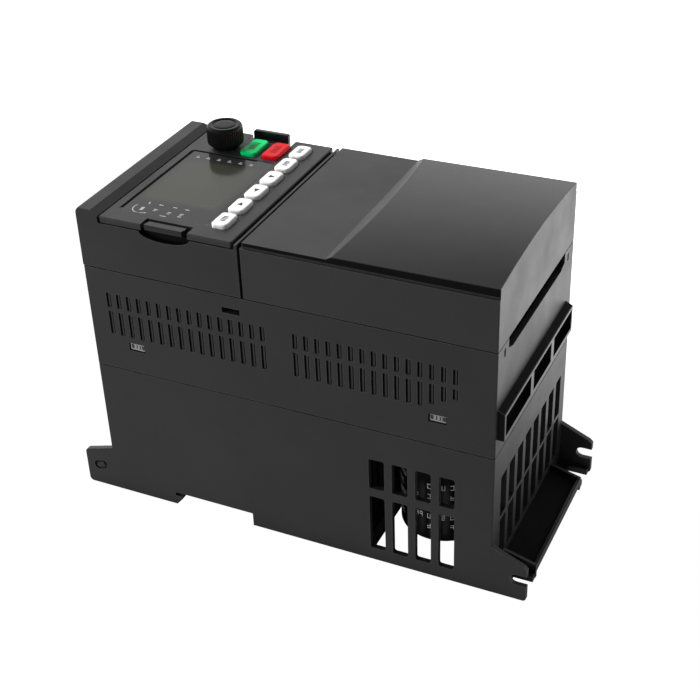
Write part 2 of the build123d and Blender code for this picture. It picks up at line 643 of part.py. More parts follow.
for name, x_range, y_range in KEYS:
    with BuildPart() as key:
        with BuildSketch(Plane.XY.offset(BEZEL_BOTTOM + KEY_TRAVEL + 0.2)):
            with Locations(plan(x_range, y_range)):
                RectangleRounded(span(x_range), span(y_range), KEY_CORNER)
        extrude(amount=KEYPAD_TOP + KEY_HEIGHT - BEZEL_BOTTOM - KEY_TRAVEL - 0.2)
        fillet(key.faces().sort_by(Axis.Z)[-1].edges(), 0.8)
        # Stem that reaches down to the switch
        middle = plan(x_range, y_range)
        block((middle[0] - 1.5, middle[0] + 1.5), (middle[1] - 1.5, middle[1] + 1.5),
              (BEZEL_BOTTOM - 0.5, BEZEL_BOTTOM + KEY_TRAVEL + 0.3))
    save(key, name)

with BuildPart() as knob:
    with BuildSketch(Plane.XY.offset(KEYPAD_TOP + KNOB_SKIRT)):
        with Locations((along(KNOB_X), KNOB_Y)):
            Circle(KNOB_R)
    extrude(amount=KNOB_TOP - KNOB_SKIRT)
    fillet(knob.faces().sort_by(Axis.Z)[-1].edges(), 0.8)
    # Collar between the grip and the keypad
    with BuildSketch(Plane.XY.offset(KEYPAD_TOP + 0.4)):
        with Locations((along(KNOB_X), KNOB_Y)):
            Circle(COLLAR_R)
    extrude(amount=KNOB_SKIRT)
    # Grip flutes
    with BuildSketch(Plane.XY.offset(KEYPAD_TOP)):
        with Locations((along(KNOB_X), KNOB_Y)):
            with PolarLocations(KNOB_R + 0.15, 36):
                Circle(0.38)
    extrude(amount=KNOB_TOP - 1.4, mode=Mode.SUBTRACT)
    # Shallow ring on the top
    with BuildSketch(Plane.XY.offset(KEYPAD_TOP + KNOB_TOP)):
        with Locations((along(KNOB_X), KNOB_Y)):
            Circle(5.0)
            Circle(4.4, mode=Mode.SUBTRACT)
    extrude(amount=-0.4, mode=Mode.SUBTRACT)
    with BuildSketch(Plane.XY.offset(KEYPAD_TOP)):
        with Locations((along(KNOB_X), KNOB_Y)):
            Circle(SHAFT_R)
    extrude(amount=6.4, mode=Mode.SUBTRACT)
save(knob, "knob")

with BuildPart() as potentiometer_shaft:
    with BuildSketch(Plane.XY.offset(KEY_BOARD_Z - 3.2)):
        with Locations((along(KNOB_X), KNOB_Y)):
            Circle(SHAFT_R)
    extrude(amount=KEYPAD_TOP + 6.4 - (KEY_BOARD_Z - 3.2))
save(potentiometer_shaft, "potentiometer_shaft")

with BuildPart() as potentiometer_body:
    with BuildSketch(Plane.XY.offset(KEY_BOARD_Z - 4.0)):
        with Locations((along(KNOB_X), KNOB_Y)):
            Rectangle(9.6, 10.2)
    extrude(amount=4.0)
    with BuildSketch(Plane.XY.offset(KEY_BOARD_Z - 3.4)):
        with Locations((along(KNOB_X), KNOB_Y)):
            Circle(SHAFT_R + 0.05)
    extrude(amount=5, mode=Mode.SUBTRACT)
save(potentiometer_body, "potentiometer_body")

END_ROUND = {"near_latch": 0.1, "far_latch": 0.9}
LATCH_TOPS = {"near_latch": (-1, KEYPAD_TOP), "far_latch": (1, KEYPAD_TOP + 2.9)}
for name, (side, top) in LATCH_TOPS.items():
    with BuildPart() as latch:
        latch_x = (along(LATCH_START[side]), along(LATCH_START[side] + LATCH_LENGTH))
        lever = sorted((side * (LATCH_PIN_Y - 0.5), side * (LATCH_PIN_Y + 0.9)))
        tab = sorted((side * (LATCH_PIN_Y - 0.2), side * (HALF_WIDTH - 0.7)))
        bar = sorted((side * (HALF_WIDTH - 2.7), side * (HALF_WIDTH - 0.7)))
        block(latch_x, lever, (LATCH_PIN_Z, BEZEL_BOTTOM + 0.6))
        block(latch_x, tab, (BEZEL_BOTTOM + 0.3, KEYPAD_TOP - 0.4))
        block(latch_x, bar, (BEZEL_BOTTOM + 0.3, top))
        fillet(latch.faces().sort_by(Axis.Z)[-1].edges().filter_by(Axis.Y), END_ROUND[name])
        fillet(latch.faces().sort_by(Axis.Z)[-1].edges().filter_by(Axis.X), 0.3)
        with BuildSketch(Plane.YZ.offset(latch_x[0])):
            with Locations((side * LATCH_PIN_Y, LATCH_PIN_Z)):
                Circle(LATCH_PIN_R + 0.7)
        extrude(amount=LATCH_LENGTH)
        with BuildSketch(Plane.YZ.offset(latch_x[0] - 1)):
            with Locations((side * LATCH_PIN_Y, LATCH_PIN_Z)):
                Circle(LATCH_PIN_R + 0.05)
        extrude(amount=LATCH_LENGTH + 2, mode=Mode.SUBTRACT)
    save(latch, name)

# ---------------------------------------------------------------- heatsink and power stage
SINK_START = 24.0
SINK_END = 109.0
SINK_HALF = 37.0
SINK_PLATE = (46.0, 51.0)
FIN_COUNT = 13
FIN_THICK = 2.4
MODULE_TOP = SINK_PLATE[1] + 0.4 + 7.0

with BuildPart() as heatsink:
    block((along(SINK_START), along(SINK_END)), (-SINK_HALF, SINK_HALF), SINK_PLATE)
    with BuildSketch(Plane.XY.offset(FLOOR_TOP)):
        with Locations((along((SINK_START + SINK_END) / 2), 0)):
            with GridLocations(1, (2 * SINK_HALF - FIN_THICK) / (FIN_COUNT - 1), 1, FIN_COUNT):
                Rectangle(SINK_END - SINK_START, FIN_THICK)
    extrude(amount=SINK_PLATE[0] + TOUCH - FLOOR_TOP)
save(heatsink, "heatsink")

with BuildPart() as thermal_pad:
    block((along(36.0), along(96.0)), (-26, 26), (SINK_PLATE[1], SINK_PLATE[1] + 0.4))
save(thermal_pad, "thermal_pad")

with BuildPart() as power_module:
    block((along(38.0), along(72.0)), (-22, 22), (SINK_PLATE[1] + 0.4, MODULE_TOP))
    with BuildSketch(Plane.XY.offset(MODULE_TOP - TOUCH)):
        with Locations((along(55.0), 0)):
            with GridLocations(3.2, 38.0, 9, 2):
                Rectangle(0.8, 0.6)
    extrude(amount=POWER_BOARD_Z - MODULE_TOP + TOUCH)
save(power_module, "power_module")

with BuildPart() as rectifier_bridge:
    block((along(78.0), along(94.0)), (-16, 16), (SINK_PLATE[1] + 0.4, MODULE_TOP))
    with BuildSketch(Plane.XY.offset(MODULE_TOP - TOUCH)):
        with Locations((along(86.0), 0)):
            with GridLocations(1, 6.4, 1, 5):
                Rectangle(1.2, 0.8)
    extrude(amount=POWER_BOARD_Z - MODULE_TOP + TOUCH)
save(rectifier_bridge, "rectifier_bridge")

with BuildPart() as board_standoffs:
    with BuildSketch(Plane.XY.offset(SINK_PLATE[1])):
        with Locations((along(66.0), 0)):
            with GridLocations(76, 66, 2, 2):
                RegularPolygon(3.0, 6)
    extrude(amount=POWER_BOARD_Z - SINK_PLATE[1])
save(board_standoffs, "board_standoffs")

with BuildPart() as power_pcb:
    block((along(24.0), CABLE_END - 4.2), (-38, 38), (POWER_BOARD_Z, POWER_BOARD_Z + BOARD))
save(power_pcb, "power_pcb")

CAN_R = 16.8
CAN_X = 135.5
CAN_Y = 18.0
CAN_BOTTOM = 9.8
with BuildPart() as dc_link_capacitors:
    with BuildSketch(Plane.XY.offset(CAN_BOTTOM)):
        with Locations((along(CAN_X), -CAN_Y), (along(CAN_X), CAN_Y)):
            Circle(CAN_R)
    extrude(amount=POWER_BOARD_Z - CAN_BOTTOM)
    fillet(dc_link_capacitors.faces().filter_by(Axis.Z).group_by(Axis.Z)[0].edges(), 1.0)
save(dc_link_capacitors, "dc_link_capacitors")

with BuildPart() as switching_transformer:
    winding_z = (POWER_BOARD_Z + BOARD + 4, POWER_BOARD_Z + BOARD + 16)
    block((along(36.0), along(56.0)), (8, 30), (POWER_BOARD_Z + BOARD, winding_z[0]))
    block((along(38.0), along(54.0)), (10, 28), (winding_z[0] - TOUCH, winding_z[1] + TOUCH))
    block((along(36.0), along(56.0)), (8, 30), (winding_z[1], winding_z[1] + 4))
save(switching_transformer, "switching_transformer")

with BuildPart() as precharge_relay:
    block((along(100.0), along(117.0)), (-34, -19), (POWER_BOARD_Z + BOARD, POWER_BOARD_Z + BOARD + 15.5))
save(precharge_relay, "precharge_relay")

# ---------------------------------------------------------------- terminals
TERMINAL_X = (145.5, 158.6)
TERMINAL_Y = (-39.4, 36.0)
TERMINAL_TOP = 81.6
POLES = 7
pole_pitch = span(TERMINAL_Y) / POLES
pole_middles = [TERMINAL_Y[0] + pole_pitch * (index + 0.5) for index in range(POLES)]

with BuildPart() as power_terminal_block:
    block((along(TERMINAL_X[0]), along(TERMINAL_X[1])), TERMINAL_Y, (POWER_BOARD_Z + BOARD, TERMINAL_TOP))
    for middle in pole_middles:
        block((along(TERMINAL_X[1] - 6), along(TERMINAL_X[1] + 1)), (middle - 3.6, middle + 3.6),
              (HOOD_OPENING_Z[0] + 0.4, HOOD_OPENING_Z[1] - 0.6), Mode.SUBTRACT)
        with BuildSketch(Plane.XY.offset(TERMINAL_TOP - 5)):
            with Locations((along(centre(TERMINAL_X) - 1.6), middle)):
                Circle(3.1)
        extrude(amount=6, mode=Mode.SUBTRACT)
save(power_terminal_block, "power_terminal_block")

with BuildPart() as power_terminal_screws:
    for middle in pole_middles:
        spot = (along(centre(TERMINAL_X) - 1.6), middle)
        with BuildSketch(Plane.XY.offset(TERMINAL_TOP - 5)):
            with Locations(spot):
                Circle(2.7)
        extrude(amount=2.6)
        with BuildSketch(Plane.XY.offset(TERMINAL_TOP - 3.3)):
            with Locations(spot):
                Rectangle(3.6, 0.8)
                Rectangle(0.8, 3.6)
        extrude(amount=2, mode=Mode.SUBTRACT)
save(power_terminal_screws, "power_terminal_screws")

with BuildPart() as control_pcb:
    block((along(6.0), along(100.0)), (-37, 37), (CONTROL_BOARD_Z, CONTROL_BOARD_Z + BOARD))
save(control_pcb, "control_pcb")

with BuildPart() as control_standoffs:
    with BuildSketch(Plane.XY.offset(POWER_BOARD_Z + BOARD)):
        with Locations((along(62.0), 0)):
            with GridLocations(64, 68, 2, 2):
                RegularPolygon(2.8, 6)
    extrude(amount=CONTROL_BOARD_Z - POWER_BOARD_Z - BOARD)
save(control_standoffs, "control_standoffs")

CONTROL_POLES = 14
CONTROL_BLOCK_X = (88.0, 97.0)
CONTROL_TOP = CONTROL_BOARD_Z + BOARD + 9.0
with BuildPart() as control_terminal_block:
    block((along(CONTROL_BLOCK_X[0]), along(CONTROL_BLOCK_X[1])), (-35.2, 35.2),
          (CONTROL_BOARD_Z + BOARD, CONTROL_TOP))
    with BuildSketch(Plane.XY.offset(CONTROL_TOP - 3)):
        with Locations((along(CONTROL_BLOCK_X[0] + 3.4), 0)):
            with GridLocations(1, 5.0, 1, CONTROL_POLES):
                Circle(1.7)
    extrude(amount=4, mode=Mode.SUBTRACT)
    with BuildSketch(Plane.YZ.offset(along(CONTROL_BLOCK_X[1] + 1))):
        with Locations((0, CONTROL_BOARD_Z + BOARD + 4)):
            with GridLocations(5.0, 1, CONTROL_POLES, 1):
                Rectangle(3.4, 3.4)
    extrude(amount=-5, mode=Mode.SUBTRACT)
save(control_terminal_block, "control_terminal_block")

with BuildPart() as control_terminal_screws:
    with BuildSketch(Plane.XY.offset(CONTROL_TOP - 3)):
        with Locations((along(CONTROL_BLOCK_X[0] + 3.4), 0)):
            with GridLocations(1, 5.0, 1, CONTROL_POLES):
                Circle(1.5)
    extrude(amount=2.0)
    with BuildSketch(Plane.XY.offset(CONTROL_TOP - 1.6)):
        with Locations((along(CONTROL_BLOCK_X[0] + 3.4), 0)):
            with GridLocations(1, 5.0, 1, CONTROL_POLES):
                Rectangle(2.2, 0.5)
    extrude(amount=2, mode=Mode.SUBTRACT)
save(control_terminal_screws, "control_terminal_screws")

with BuildPart() as fault_relay:
    block((along(72.0), along(84.0)), (16, 34), (CONTROL_BOARD_Z + BOARD, CONTROL_BOARD_Z + BOARD + 10))
save(fault_relay, "fault_relay")

with BuildPart() as processor_chip:
    block((along(52.0), along(62.0)), (-18, -8), (CONTROL_BOARD_Z + BOARD, CONTROL_BOARD_Z + BOARD + 1.4))
save(processor_chip, "processor_chip")

with BuildPart() as keypad_connector:
    block((along(31.0), along(41.0)), (-9, 9), (CONTROL_BOARD_Z + BOARD, SHELL_BOTTOM + 2.0))
    block((along(32.2), along(39.8)), (-7.8, 7.8), (SHELL_BOTTOM - 4, SHELL_BOTTOM + 3), Mode.SUBTRACT)
save(keypad_connector, "keypad_connector")

with BuildPart() as keypad_plug:
    block((along(33.0), along(39.0)), (-7.0, 7.0), (SHELL_BOTTOM - 2, KEY_BOARD_Z))
save(keypad_plug, "keypad_plug")

# ---------------------------------------------------------------- fan and fan door
fan_middle = (0, FAN_Z)
fan_x = (along(FAN_START), along(FAN_START + FAN_DEPTH))
HUB_R = 11.0
BLADE_COUNT = 7

with BuildPart() as fan_frame:
    with BuildSketch(Plane.YZ.offset(fan_x[0])):
        with Locations(fan_middle):
            RectangleRounded(FAN_SIZE, FAN_SIZE, 2.0)
            Circle(FAN_BORE_R, mode=Mode.SUBTRACT)
            with GridLocations(43.0, 43.0, 2, 2):
                Circle(1.8, mode=Mode.SUBTRACT)
    extrude(amount=FAN_DEPTH)
    # Motor plate on three struts at the heatsink side, with the rotor pin
    with BuildSketch(Plane.YZ.offset(fan_x[1] - 2.0)):
        with Locations(fan_middle):
            Circle(HUB_R)
            with PolarLocations(FAN_BORE_R / 2 + 5.6, 3, start_angle=30):
                Rectangle(FAN_BORE_R - HUB_R + 3.0, 2.2)
    extrude(amount=2.0)
    with BuildSketch(Plane.YZ.offset(fan_x[0] + 3.0)):
        with Locations(fan_middle):
            Circle(FAN_PIN_R)
    extrude(amount=FAN_DEPTH - 4.0)
save(fan_frame, "fan_frame")

with BuildPart() as fan_rotor:
    with BuildSketch(Plane.YZ.offset(fan_x[0] + 1.2)):
        with Locations(fan_middle):
            Circle(HUB_R)
    extrude(amount=10.6)
    for index in range(BLADE_COUNT):
        turn = 360 * index / BLADE_COUNT
        direction = (0, math.cos(math.radians(turn)), math.sin(math.radians(turn)))
        hub_plane = Plane(origin=(fan_x[0] + 6.5, 0, FAN_Z), x_dir=(1, 0, 0), z_dir=direction)
        with BuildSketch(hub_plane.offset(HUB_R - 1.2)):
            Rectangle(10.6, 1.2, rotation=38)
        extrude(amount=FAN_BORE_R - 1.0 - HUB_R + 1.2)
    with BuildSketch(Plane.YZ.offset(fan_x[0] + 2.4)):
        with Locations(fan_middle):
            Circle(FAN_PIN_R + 0.06)
    extrude(amount=12, mode=Mode.SUBTRACT)
save(fan_rotor, "fan_rotor")

DOOR_GAP = 0.35
with BuildPart() as fan_door:
    door_half = FAN_DOOR_HALF - DOOR_GAP
    door_z = (FAN_DOOR_BOTTOM + DOOR_GAP, FAN_DOOR_TOP - DOOR_GAP)
    block((along(0), along(2.4)), (-door_half, door_half), door_z)
    with BuildSketch(Plane.YZ.offset(along(-1))):
        with Locations(fan_middle):
            for radius in (21.0, 16.0, 11.0, 6.0):
                Circle(radius + 1.7)
                Circle(radius - 1.7, mode=Mode.SUBTRACT)
            Rectangle(2.4, FAN_SIZE, mode=Mode.SUBTRACT)
            Rectangle(FAN_SIZE, 2.4, mode=Mode.SUBTRACT)
    extrude(amount=5, mode=Mode.SUBTRACT)
save(fan_door, "fan_door")

# ---------------------------------------------------------------- rail clip, clips and screws
with BuildPart() as rail_clip:
    with BuildSketch(Plane.XZ.offset(-9.1)):
        with BuildLine():
            Polyline(
                (along(RAIL_END - 0.6), 2.2),
                (along(RAIL_END - 1.8), 3.4),
                (along(RAIL_END - 1.8), 4.2),
                (along(79.0), 4.2),
                (along(79.0), 2.2),
                close=True,
            )
        make_face()
    extrude(amount=18.2)
    # Screwdriver eye
    with BuildSketch(Plane.XY.offset(1)):
        with Locations((along(75.0), 0)):
            RectangleRounded(2.2, 6.0, 0.6)
    extrude(amount=5, mode=Mode.SUBTRACT)
save(rail_clip, "rail_clip")

with BuildPart() as housing_clips:
    for side in (-1, 1):
        clip_y = sorted((side * (HALF_WIDTH - 0.5), side * (HALF_WIDTH - 4.0)))
        for start in CLIP_WINDOWS:
            block((along(start + 0.4), along(start + CLIP_SIZE[0] - 0.4)), clip_y,
                  (CLIP_Z + 0.35, CLIP_Z + CLIP_SIZE[1] - 0.35))
save(housing_clips, "housing_clips")

SINK_SCREW_X = 98.0
SINK_SCREW_SPACING = 48.0
SINK_SCREW_HEAD = 2.4
with BuildPart() as sink_screws:
    with BuildSketch(Plane.XY.offset(FLOOR_TOP - WALL - SINK_SCREW_HEAD)):
        with Locations((along(SINK_SCREW_X), 0)):
            with GridLocations(1, SINK_SCREW_SPACING, 1, 2):
                Circle(2.6)
    extrude(amount=SINK_SCREW_HEAD)
    # Cross recess, seen from below
    with BuildSketch(Plane.XY.offset(FLOOR_TOP - WALL - SINK_SCREW_HEAD)):
        with Locations((along(SINK_SCREW_X), 0)):
            with GridLocations(1, SINK_SCREW_SPACING, 1, 2):
                Rectangle(3.4, 0.8)
                Rectangle(0.8, 3.4)
    extrude(amount=1.0, mode=Mode.SUBTRACT)
save(sink_screws, "sink_screws")
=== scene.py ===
"""Looks of the variable frequency drive: finishes, printed marks, black linings, small parts, stage."""

import json
import math
import random

import bmesh
import bpy
from mathutils import Matrix, Vector


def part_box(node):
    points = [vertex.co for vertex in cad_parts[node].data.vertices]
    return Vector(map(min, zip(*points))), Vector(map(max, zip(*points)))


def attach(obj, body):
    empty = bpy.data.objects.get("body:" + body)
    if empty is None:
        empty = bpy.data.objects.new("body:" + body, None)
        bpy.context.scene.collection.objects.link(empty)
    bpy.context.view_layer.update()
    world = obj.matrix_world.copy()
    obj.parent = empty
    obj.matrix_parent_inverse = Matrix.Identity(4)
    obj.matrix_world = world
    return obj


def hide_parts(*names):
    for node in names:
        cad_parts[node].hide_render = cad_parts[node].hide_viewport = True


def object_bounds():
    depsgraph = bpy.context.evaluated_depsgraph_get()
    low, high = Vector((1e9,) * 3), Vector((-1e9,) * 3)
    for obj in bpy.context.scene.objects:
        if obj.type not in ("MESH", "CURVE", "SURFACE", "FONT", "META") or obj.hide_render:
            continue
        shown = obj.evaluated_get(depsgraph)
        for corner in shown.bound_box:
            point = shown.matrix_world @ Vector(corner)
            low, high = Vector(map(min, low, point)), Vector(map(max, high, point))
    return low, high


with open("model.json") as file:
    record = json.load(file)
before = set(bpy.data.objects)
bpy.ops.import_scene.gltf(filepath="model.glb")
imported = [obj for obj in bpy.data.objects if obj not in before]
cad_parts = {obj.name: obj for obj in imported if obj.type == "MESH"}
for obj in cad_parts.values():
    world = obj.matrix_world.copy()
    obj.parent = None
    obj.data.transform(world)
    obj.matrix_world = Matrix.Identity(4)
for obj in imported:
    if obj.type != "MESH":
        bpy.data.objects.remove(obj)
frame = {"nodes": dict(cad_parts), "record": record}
NODES = frame["nodes"]
CAD_BOX = [list(corner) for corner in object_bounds()]
MM = 0.001
SLOT_OF = {part["node"]: part["material_slot"] for part in frame["record"]["subparts"]}

# ---------------------------------------------------------------- colours, linear
CHARCOAL = (0.024, 0.024, 0.0245)
COVER_CHARCOAL = (0.029, 0.029, 0.0295)
POLISHED = (0.010, 0.010, 0.0105)
# Near black for painted shade: on the hood and tray of the housing, and on the pieces of painted shade
SHADE_BLACK = (0.006, 0.006, 0.0062)
KEYPAD_CHARCOAL = (0.030, 0.030, 0.031)
SMOKED = (0.018, 0.018, 0.018)
DISPLAY = (0.031, 0.033, 0.025)
INK_LIGHT = (0.36, 0.37, 0.36)
INK_DARK = (0.035, 0.036, 0.040)
KEY_WHITE = (0.86, 0.86, 0.85)
KEY_GREEN = (0.0, 0.680, 0.180)
KEY_RED = (0.620, 0.003, 0.008)
BLACK = (0.010, 0.010, 0.011)
SLEEVE_BLACK = (0.004, 0.004, 0.0045)
DEEP_SHADE_BLACK = (0.002, 0.002, 0.002)
CAN_INK = (0.85, 0.86, 0.84)
SOFT_BLACK = (0.014, 0.014, 0.015)
KNOB_BLACK = (0.005, 0.005, 0.0052)
BOARD_GREEN = (0.010, 0.085, 0.032)
RELAY_BLUE = (0.020, 0.085, 0.260)
TAPE_YELLOW = (0.62, 0.42, 0.05)
CLIP_GREY = (0.30, 0.30, 0.295)
STEEL = (0.62, 0.61, 0.59)
TIN = (0.70, 0.70, 0.68)
FIN_BLACK = (0.016, 0.016, 0.018)
CAN_METAL = (0.74, 0.745, 0.75)
BRASS = (0.75, 0.56, 0.26)
CERAMIC = (0.55, 0.47, 0.36)
CONNECTOR_CREAM = (0.66, 0.62, 0.52)
PAD_GREY = (0.36, 0.39, 0.43)
LENS_MILKY = (0.75, 0.76, 0.72)


# ---------------------------------------------------------------- node helpers
class Nodes:
    """The nodes of a material or a world, and short ways to add to them."""

    def __init__(self, owner):
        owner.use_nodes = True
        self.nodes = owner.node_tree.nodes
        self.links = owner.node_tree.links

    def add(self, kind, **settings):
        node = self.nodes.new(kind)
        for key, value in settings.items():
            setattr(node, key, value)
        return node

    def link(self, source, target):
        self.links.new(source, target)

    def feed(self, value, socket):
        """Set a socket to a number or a colour, or link another socket to it."""
        if isinstance(value, (int, float)):
            socket.default_value = value
        elif isinstance(value, tuple):
            socket.default_value = (*value, 1.0)
        else:
            self.link(value, socket)

    def ramp(self, source, low, high, start=0.0, end=1.0):
        """Source between low and high, turned into start to end."""
        node = self.add("ShaderNodeMapRange")
        node.inputs["From Min"].default_value = low
        node.inputs["From Max"].default_value = high
        node.inputs["To Min"].default_value = start
        node.inputs["To Max"].default_value = end
        self.link(source, node.inputs["Value"])
        return node.outputs["Result"]

    def math(self, operation, first, second):
        """Operation on two values, each a socket or a number."""
        node = self.add("ShaderNodeMath", operation=operation)
        for value, socket in zip((first, second), node.inputs):
            self.feed(value, socket)
        return node.outputs["Value"]

    def mix(self, factor, first, second):
        """Colour between first and second, each a colour or a socket."""
        node = self.add("ShaderNodeMix", data_type="RGBA")
        self.link(factor, node.inputs["Factor"])
        self.feed(first, node.inputs[6])
        self.feed(second, node.inputs[7])
        return node.outputs[2]


class Shader(Nodes):
    """One node material."""

    def __init__(self, name):
        self.material = bpy.data.materials.new(name)
        super().__init__(self.material)
        self.bsdf = self.nodes["Principled BSDF"]
        self.place = self.add("ShaderNodeTexCoord").outputs["Object"]

    def noise(self, scale, detail=2.0, roughness=0.5, stretch=None):
        """Noise over the object, scale in cells per metre, stretched along an axis if asked."""
        node = self.add("ShaderNodeTexNoise")
        node.inputs["Scale"].default_value = scale
        node.inputs["Detail"].default_value = detail
        node.inputs["Roughness"].default_value = roughness
        place = self.place
        if stretch:
            mapping = self.add("ShaderNodeMapping")
            mapping.inputs["Scale"].default_value = stretch
            self.link(self.place, mapping.inputs["Vector"])
            place = mapping.outputs["Vector"]
        self.link(place, node.inputs["Vector"])
        return node.outputs["Fac"]

    def edges(self, radius):
        """About 1 on an edge of that radius and 0 on a flat; it places worn edges and painted edge
        highlights.
        """
        rounded = self.add("ShaderNodeBevel", samples=4)
        rounded.inputs["Radius"].default_value = radius
        flat = self.add("ShaderNodeNewGeometry")
        both = self.add("ShaderNodeVectorMath", operation="DOT_PRODUCT")
        self.link(rounded.outputs["Normal"], both.inputs[0])
        self.link(flat.outputs["Normal"], both.inputs[1])
        # From the cosine between the rounded and the flat normal
        return self.ramp(both.outputs["Value"], 0.985, 0.80)

    def patch(self, mask, colour, gloss=None):
        """Another colour, and another roughness if given, where the mask is 1."""
        base, rough = self.bsdf.inputs["Base Color"], self.bsdf.inputs["Roughness"]
        self.link(self.mix(mask, base.links[0].from_socket, colour), base)
        if gloss is not None:
            blend = self.add("ShaderNodeMix", data_type="FLOAT")
            self.link(mask, blend.inputs[0])
            self.link(rough.links[0].from_socket, blend.inputs[2])
            self.feed(gloss, blend.inputs[3])
            self.link(blend.outputs[0], rough)

    def bump(self, height, distance, strength):
        """Relief of that height field, distance in metres."""
        node = self.add("ShaderNodeBump")
        node.inputs["Strength"].default_value = strength
        node.inputs["Distance"].default_value = distance
        self.link(height, node.inputs["Height"])
        self.link(node.outputs["Normal"], self.bsdf.inputs["Normal"])

    def set(self, **values):
        """Constants on the shader's own sockets."""
        for key, value in values.items():
            self.bsdf.inputs[key.replace("_", " ")].default_value = value


def shade(colour, factor):
    return tuple(min(1.0, channel * factor) for channel in colour)


def plastic(name, colour, roughness, grain=0.4, relief=0.03, wear_and_highlight=0.35, mottle=0.08, shine=0.5):
    """Moulded plastic: fine spark-eroded grain, faint mottling, and lighter edges that are partly wear
    and partly a painted highlight.

    Grain and relief are the texture's cell and height in millimetres.
    """
    shader = Shader(name)
    cloud = shader.ramp(shader.noise(38.0, 4.0), 0.3, 0.7)
    base = shader.mix(cloud, shade(colour, 1 - mottle), shade(colour, 1 + mottle))
    speck = shader.ramp(shader.noise(1.0 / (grain * MM), 1.0), 0.40, 0.75)
    base = shader.mix(shader.math("MULTIPLY", speck, 0.35), base, shade(colour, 1.35))
    # Lighter edges in random patches: partly wear, partly a painted highlight where light catches the
    # edges
    if wear_and_highlight:
        worn_and_lit_edge = shader.edges(0.5 * MM)
        patches = shader.ramp(shader.noise(160.0, 3.0), 0.25, 0.55)
        rub_and_highlight = shader.math("MULTIPLY", worn_and_lit_edge, patches)
        base = shader.mix(shader.math("MULTIPLY", rub_and_highlight, wear_and_highlight), base, shade(colour, 4.6))
    shader.link(base, shader.bsdf.inputs["Base Color"])
    gloss = shader.ramp(shader.noise(60.0, 5.0, 0.6), 0.3, 0.7, roughness - 0.05, roughness + 0.05)
    shader.link(gloss, shader.bsdf.inputs["Roughness"])
    shader.bump(shader.noise(1.0 / (grain * MM), 2.0), relief * MM, 0.6)
    shader.set(IOR=1.48, Specular_IOR_Level=shine)
    return shader


def metal(name, colour, roughness, brush=(1.0, 12.0, 12.0)):
    """Bare metal with fine drawn lines, stretched by brush."""
    shader = Shader(name)
    lines = shader.noise(500.0, 3.0, 0.6, stretch=brush)
    shader.link(shader.mix(shader.ramp(lines, 0.3, 0.7), shade(colour, 0.86), shade(colour, 1.06)),
                shader.bsdf.inputs["Base Color"])
    shader.link(shader.ramp(lines, 0.3, 0.7, roughness - 0.07, roughness + 0.09),
                shader.bsdf.inputs["Roughness"])
    shader.bump(lines, 0.01 * MM, 0.5)
    shader.set(Metallic=1.0)
    return shader


# ---------------------------------------------------------------- mesh helpers
def finish_mesh(name, bm, body, shaders, smooth=True):
    """New piece from a bmesh, riding on a body, with its materials."""
    bmesh.ops.recalc_face_normals(bm, faces=bm.faces)
    mesh = bpy.data.meshes.new(name)
    bm.to_mesh(mesh)
    bm.free()
    piece = bpy.data.objects.new(name, mesh)
    bpy.context.scene.collection.objects.link(piece)
    for shader in shaders:
        mesh.materials.append(shader.material)
    if smooth:
        mesh.shade_smooth()
    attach(piece, body)
    return piece


def soften(node, width, angle):
    """Round a CAD node's edges as it is shown, where its faces turn by more than angle in degrees."""
    obj = NODES[node]
    weld = obj.modifiers.new("weld", "WELD")
    weld.merge_threshold = 0.001 * MM
    bevel = obj.modifiers.new("edges", "BEVEL")
    bevel.width = width * MM
    bevel.segments = 2
    bevel.limit_method = "ANGLE"
    bevel.angle_limit = math.radians(angle)
    bevel.use_clamp_overlap = True
    flat = obj.modifiers.new("flats", "WEIGHTED_NORMAL")
    flat.weight = 100
    obj.data.shade_smooth()


def paint(node, shader):
    """Give a CAD node one material in every slot."""
    obj = NODES[node]
    obj.data.materials.clear()
    obj.data.materials.append(shader.material)


# ---------------------------------------------------------------- CAD nodes: finishes
keypad_plastic = plastic("keypad_plastic", KEYPAD_CHARCOAL, 0.42, grain=0.3, relief=0.015, shine=0.42)
fan_plastic = plastic("fan_plastic", SOFT_BLACK, 0.45, wear_and_highlight=0.2)
black_plastic = plastic("component_plastic", BLACK, 0.4, grain=0.25, wear_and_highlight=0.15)
latch_plastic = plastic("latch_plastic", SOFT_BLACK, 0.26, grain=0.6, relief=0.01, wear_and_highlight=0.25)
# Matt near black for the pieces of painted shade
painted_shade_matt = plastic("painted_shade_matt", SHADE_BLACK, 0.6, wear_and_highlight=0.0, shine=0.06)
clip_plastic = plastic("clip_plastic", CLIP_GREY, 0.45, wear_and_highlight=0.1)
relay_plastic = plastic("relay_plastic", RELAY_BLUE, 0.35, wear_and_highlight=0.1)
tape = plastic("coil_tape", TAPE_YELLOW, 0.45, grain=1.2, wear_and_highlight=0.0)
pad_rubber = plastic("thermal_pad", PAD_GREY, 0.7, wear_and_highlight=0.0)
lens_plastic = plastic("led_lens", LENS_MILKY, 0.2, wear_and_highlight=0.0)
board = plastic("board_resist", BOARD_GREEN, 0.3, grain=1.4, relief=0.02, wear_and_highlight=0.1, mottle=0.25)
key_white = plastic("key_white", KEY_WHITE, 0.42, grain=0.8, relief=0.008, wear_and_highlight=0.0, mottle=0.015)
key_green = plastic("key_green", KEY_GREEN, 0.45, grain=0.8, relief=0.008, wear_and_highlight=0.0,
                    mottle=0.04, shine=0.2)
key_red = plastic("key_red", KEY_RED, 0.45, grain=0.8, relief=0.008, wear_and_highlight=0.0,
                  mottle=0.04, shine=0.3)
knob_plastic = plastic("knob_plastic", KNOB_BLACK, 0.38, grain=0.35, relief=0.012, wear_and_highlight=0.3,
                       shine=0.26)
sleeve = plastic("capacitor_sleeve", SLEEVE_BLACK, 0.32, grain=3.0, relief=0.02, wear_and_highlight=0.0,
                 shine=0.35)
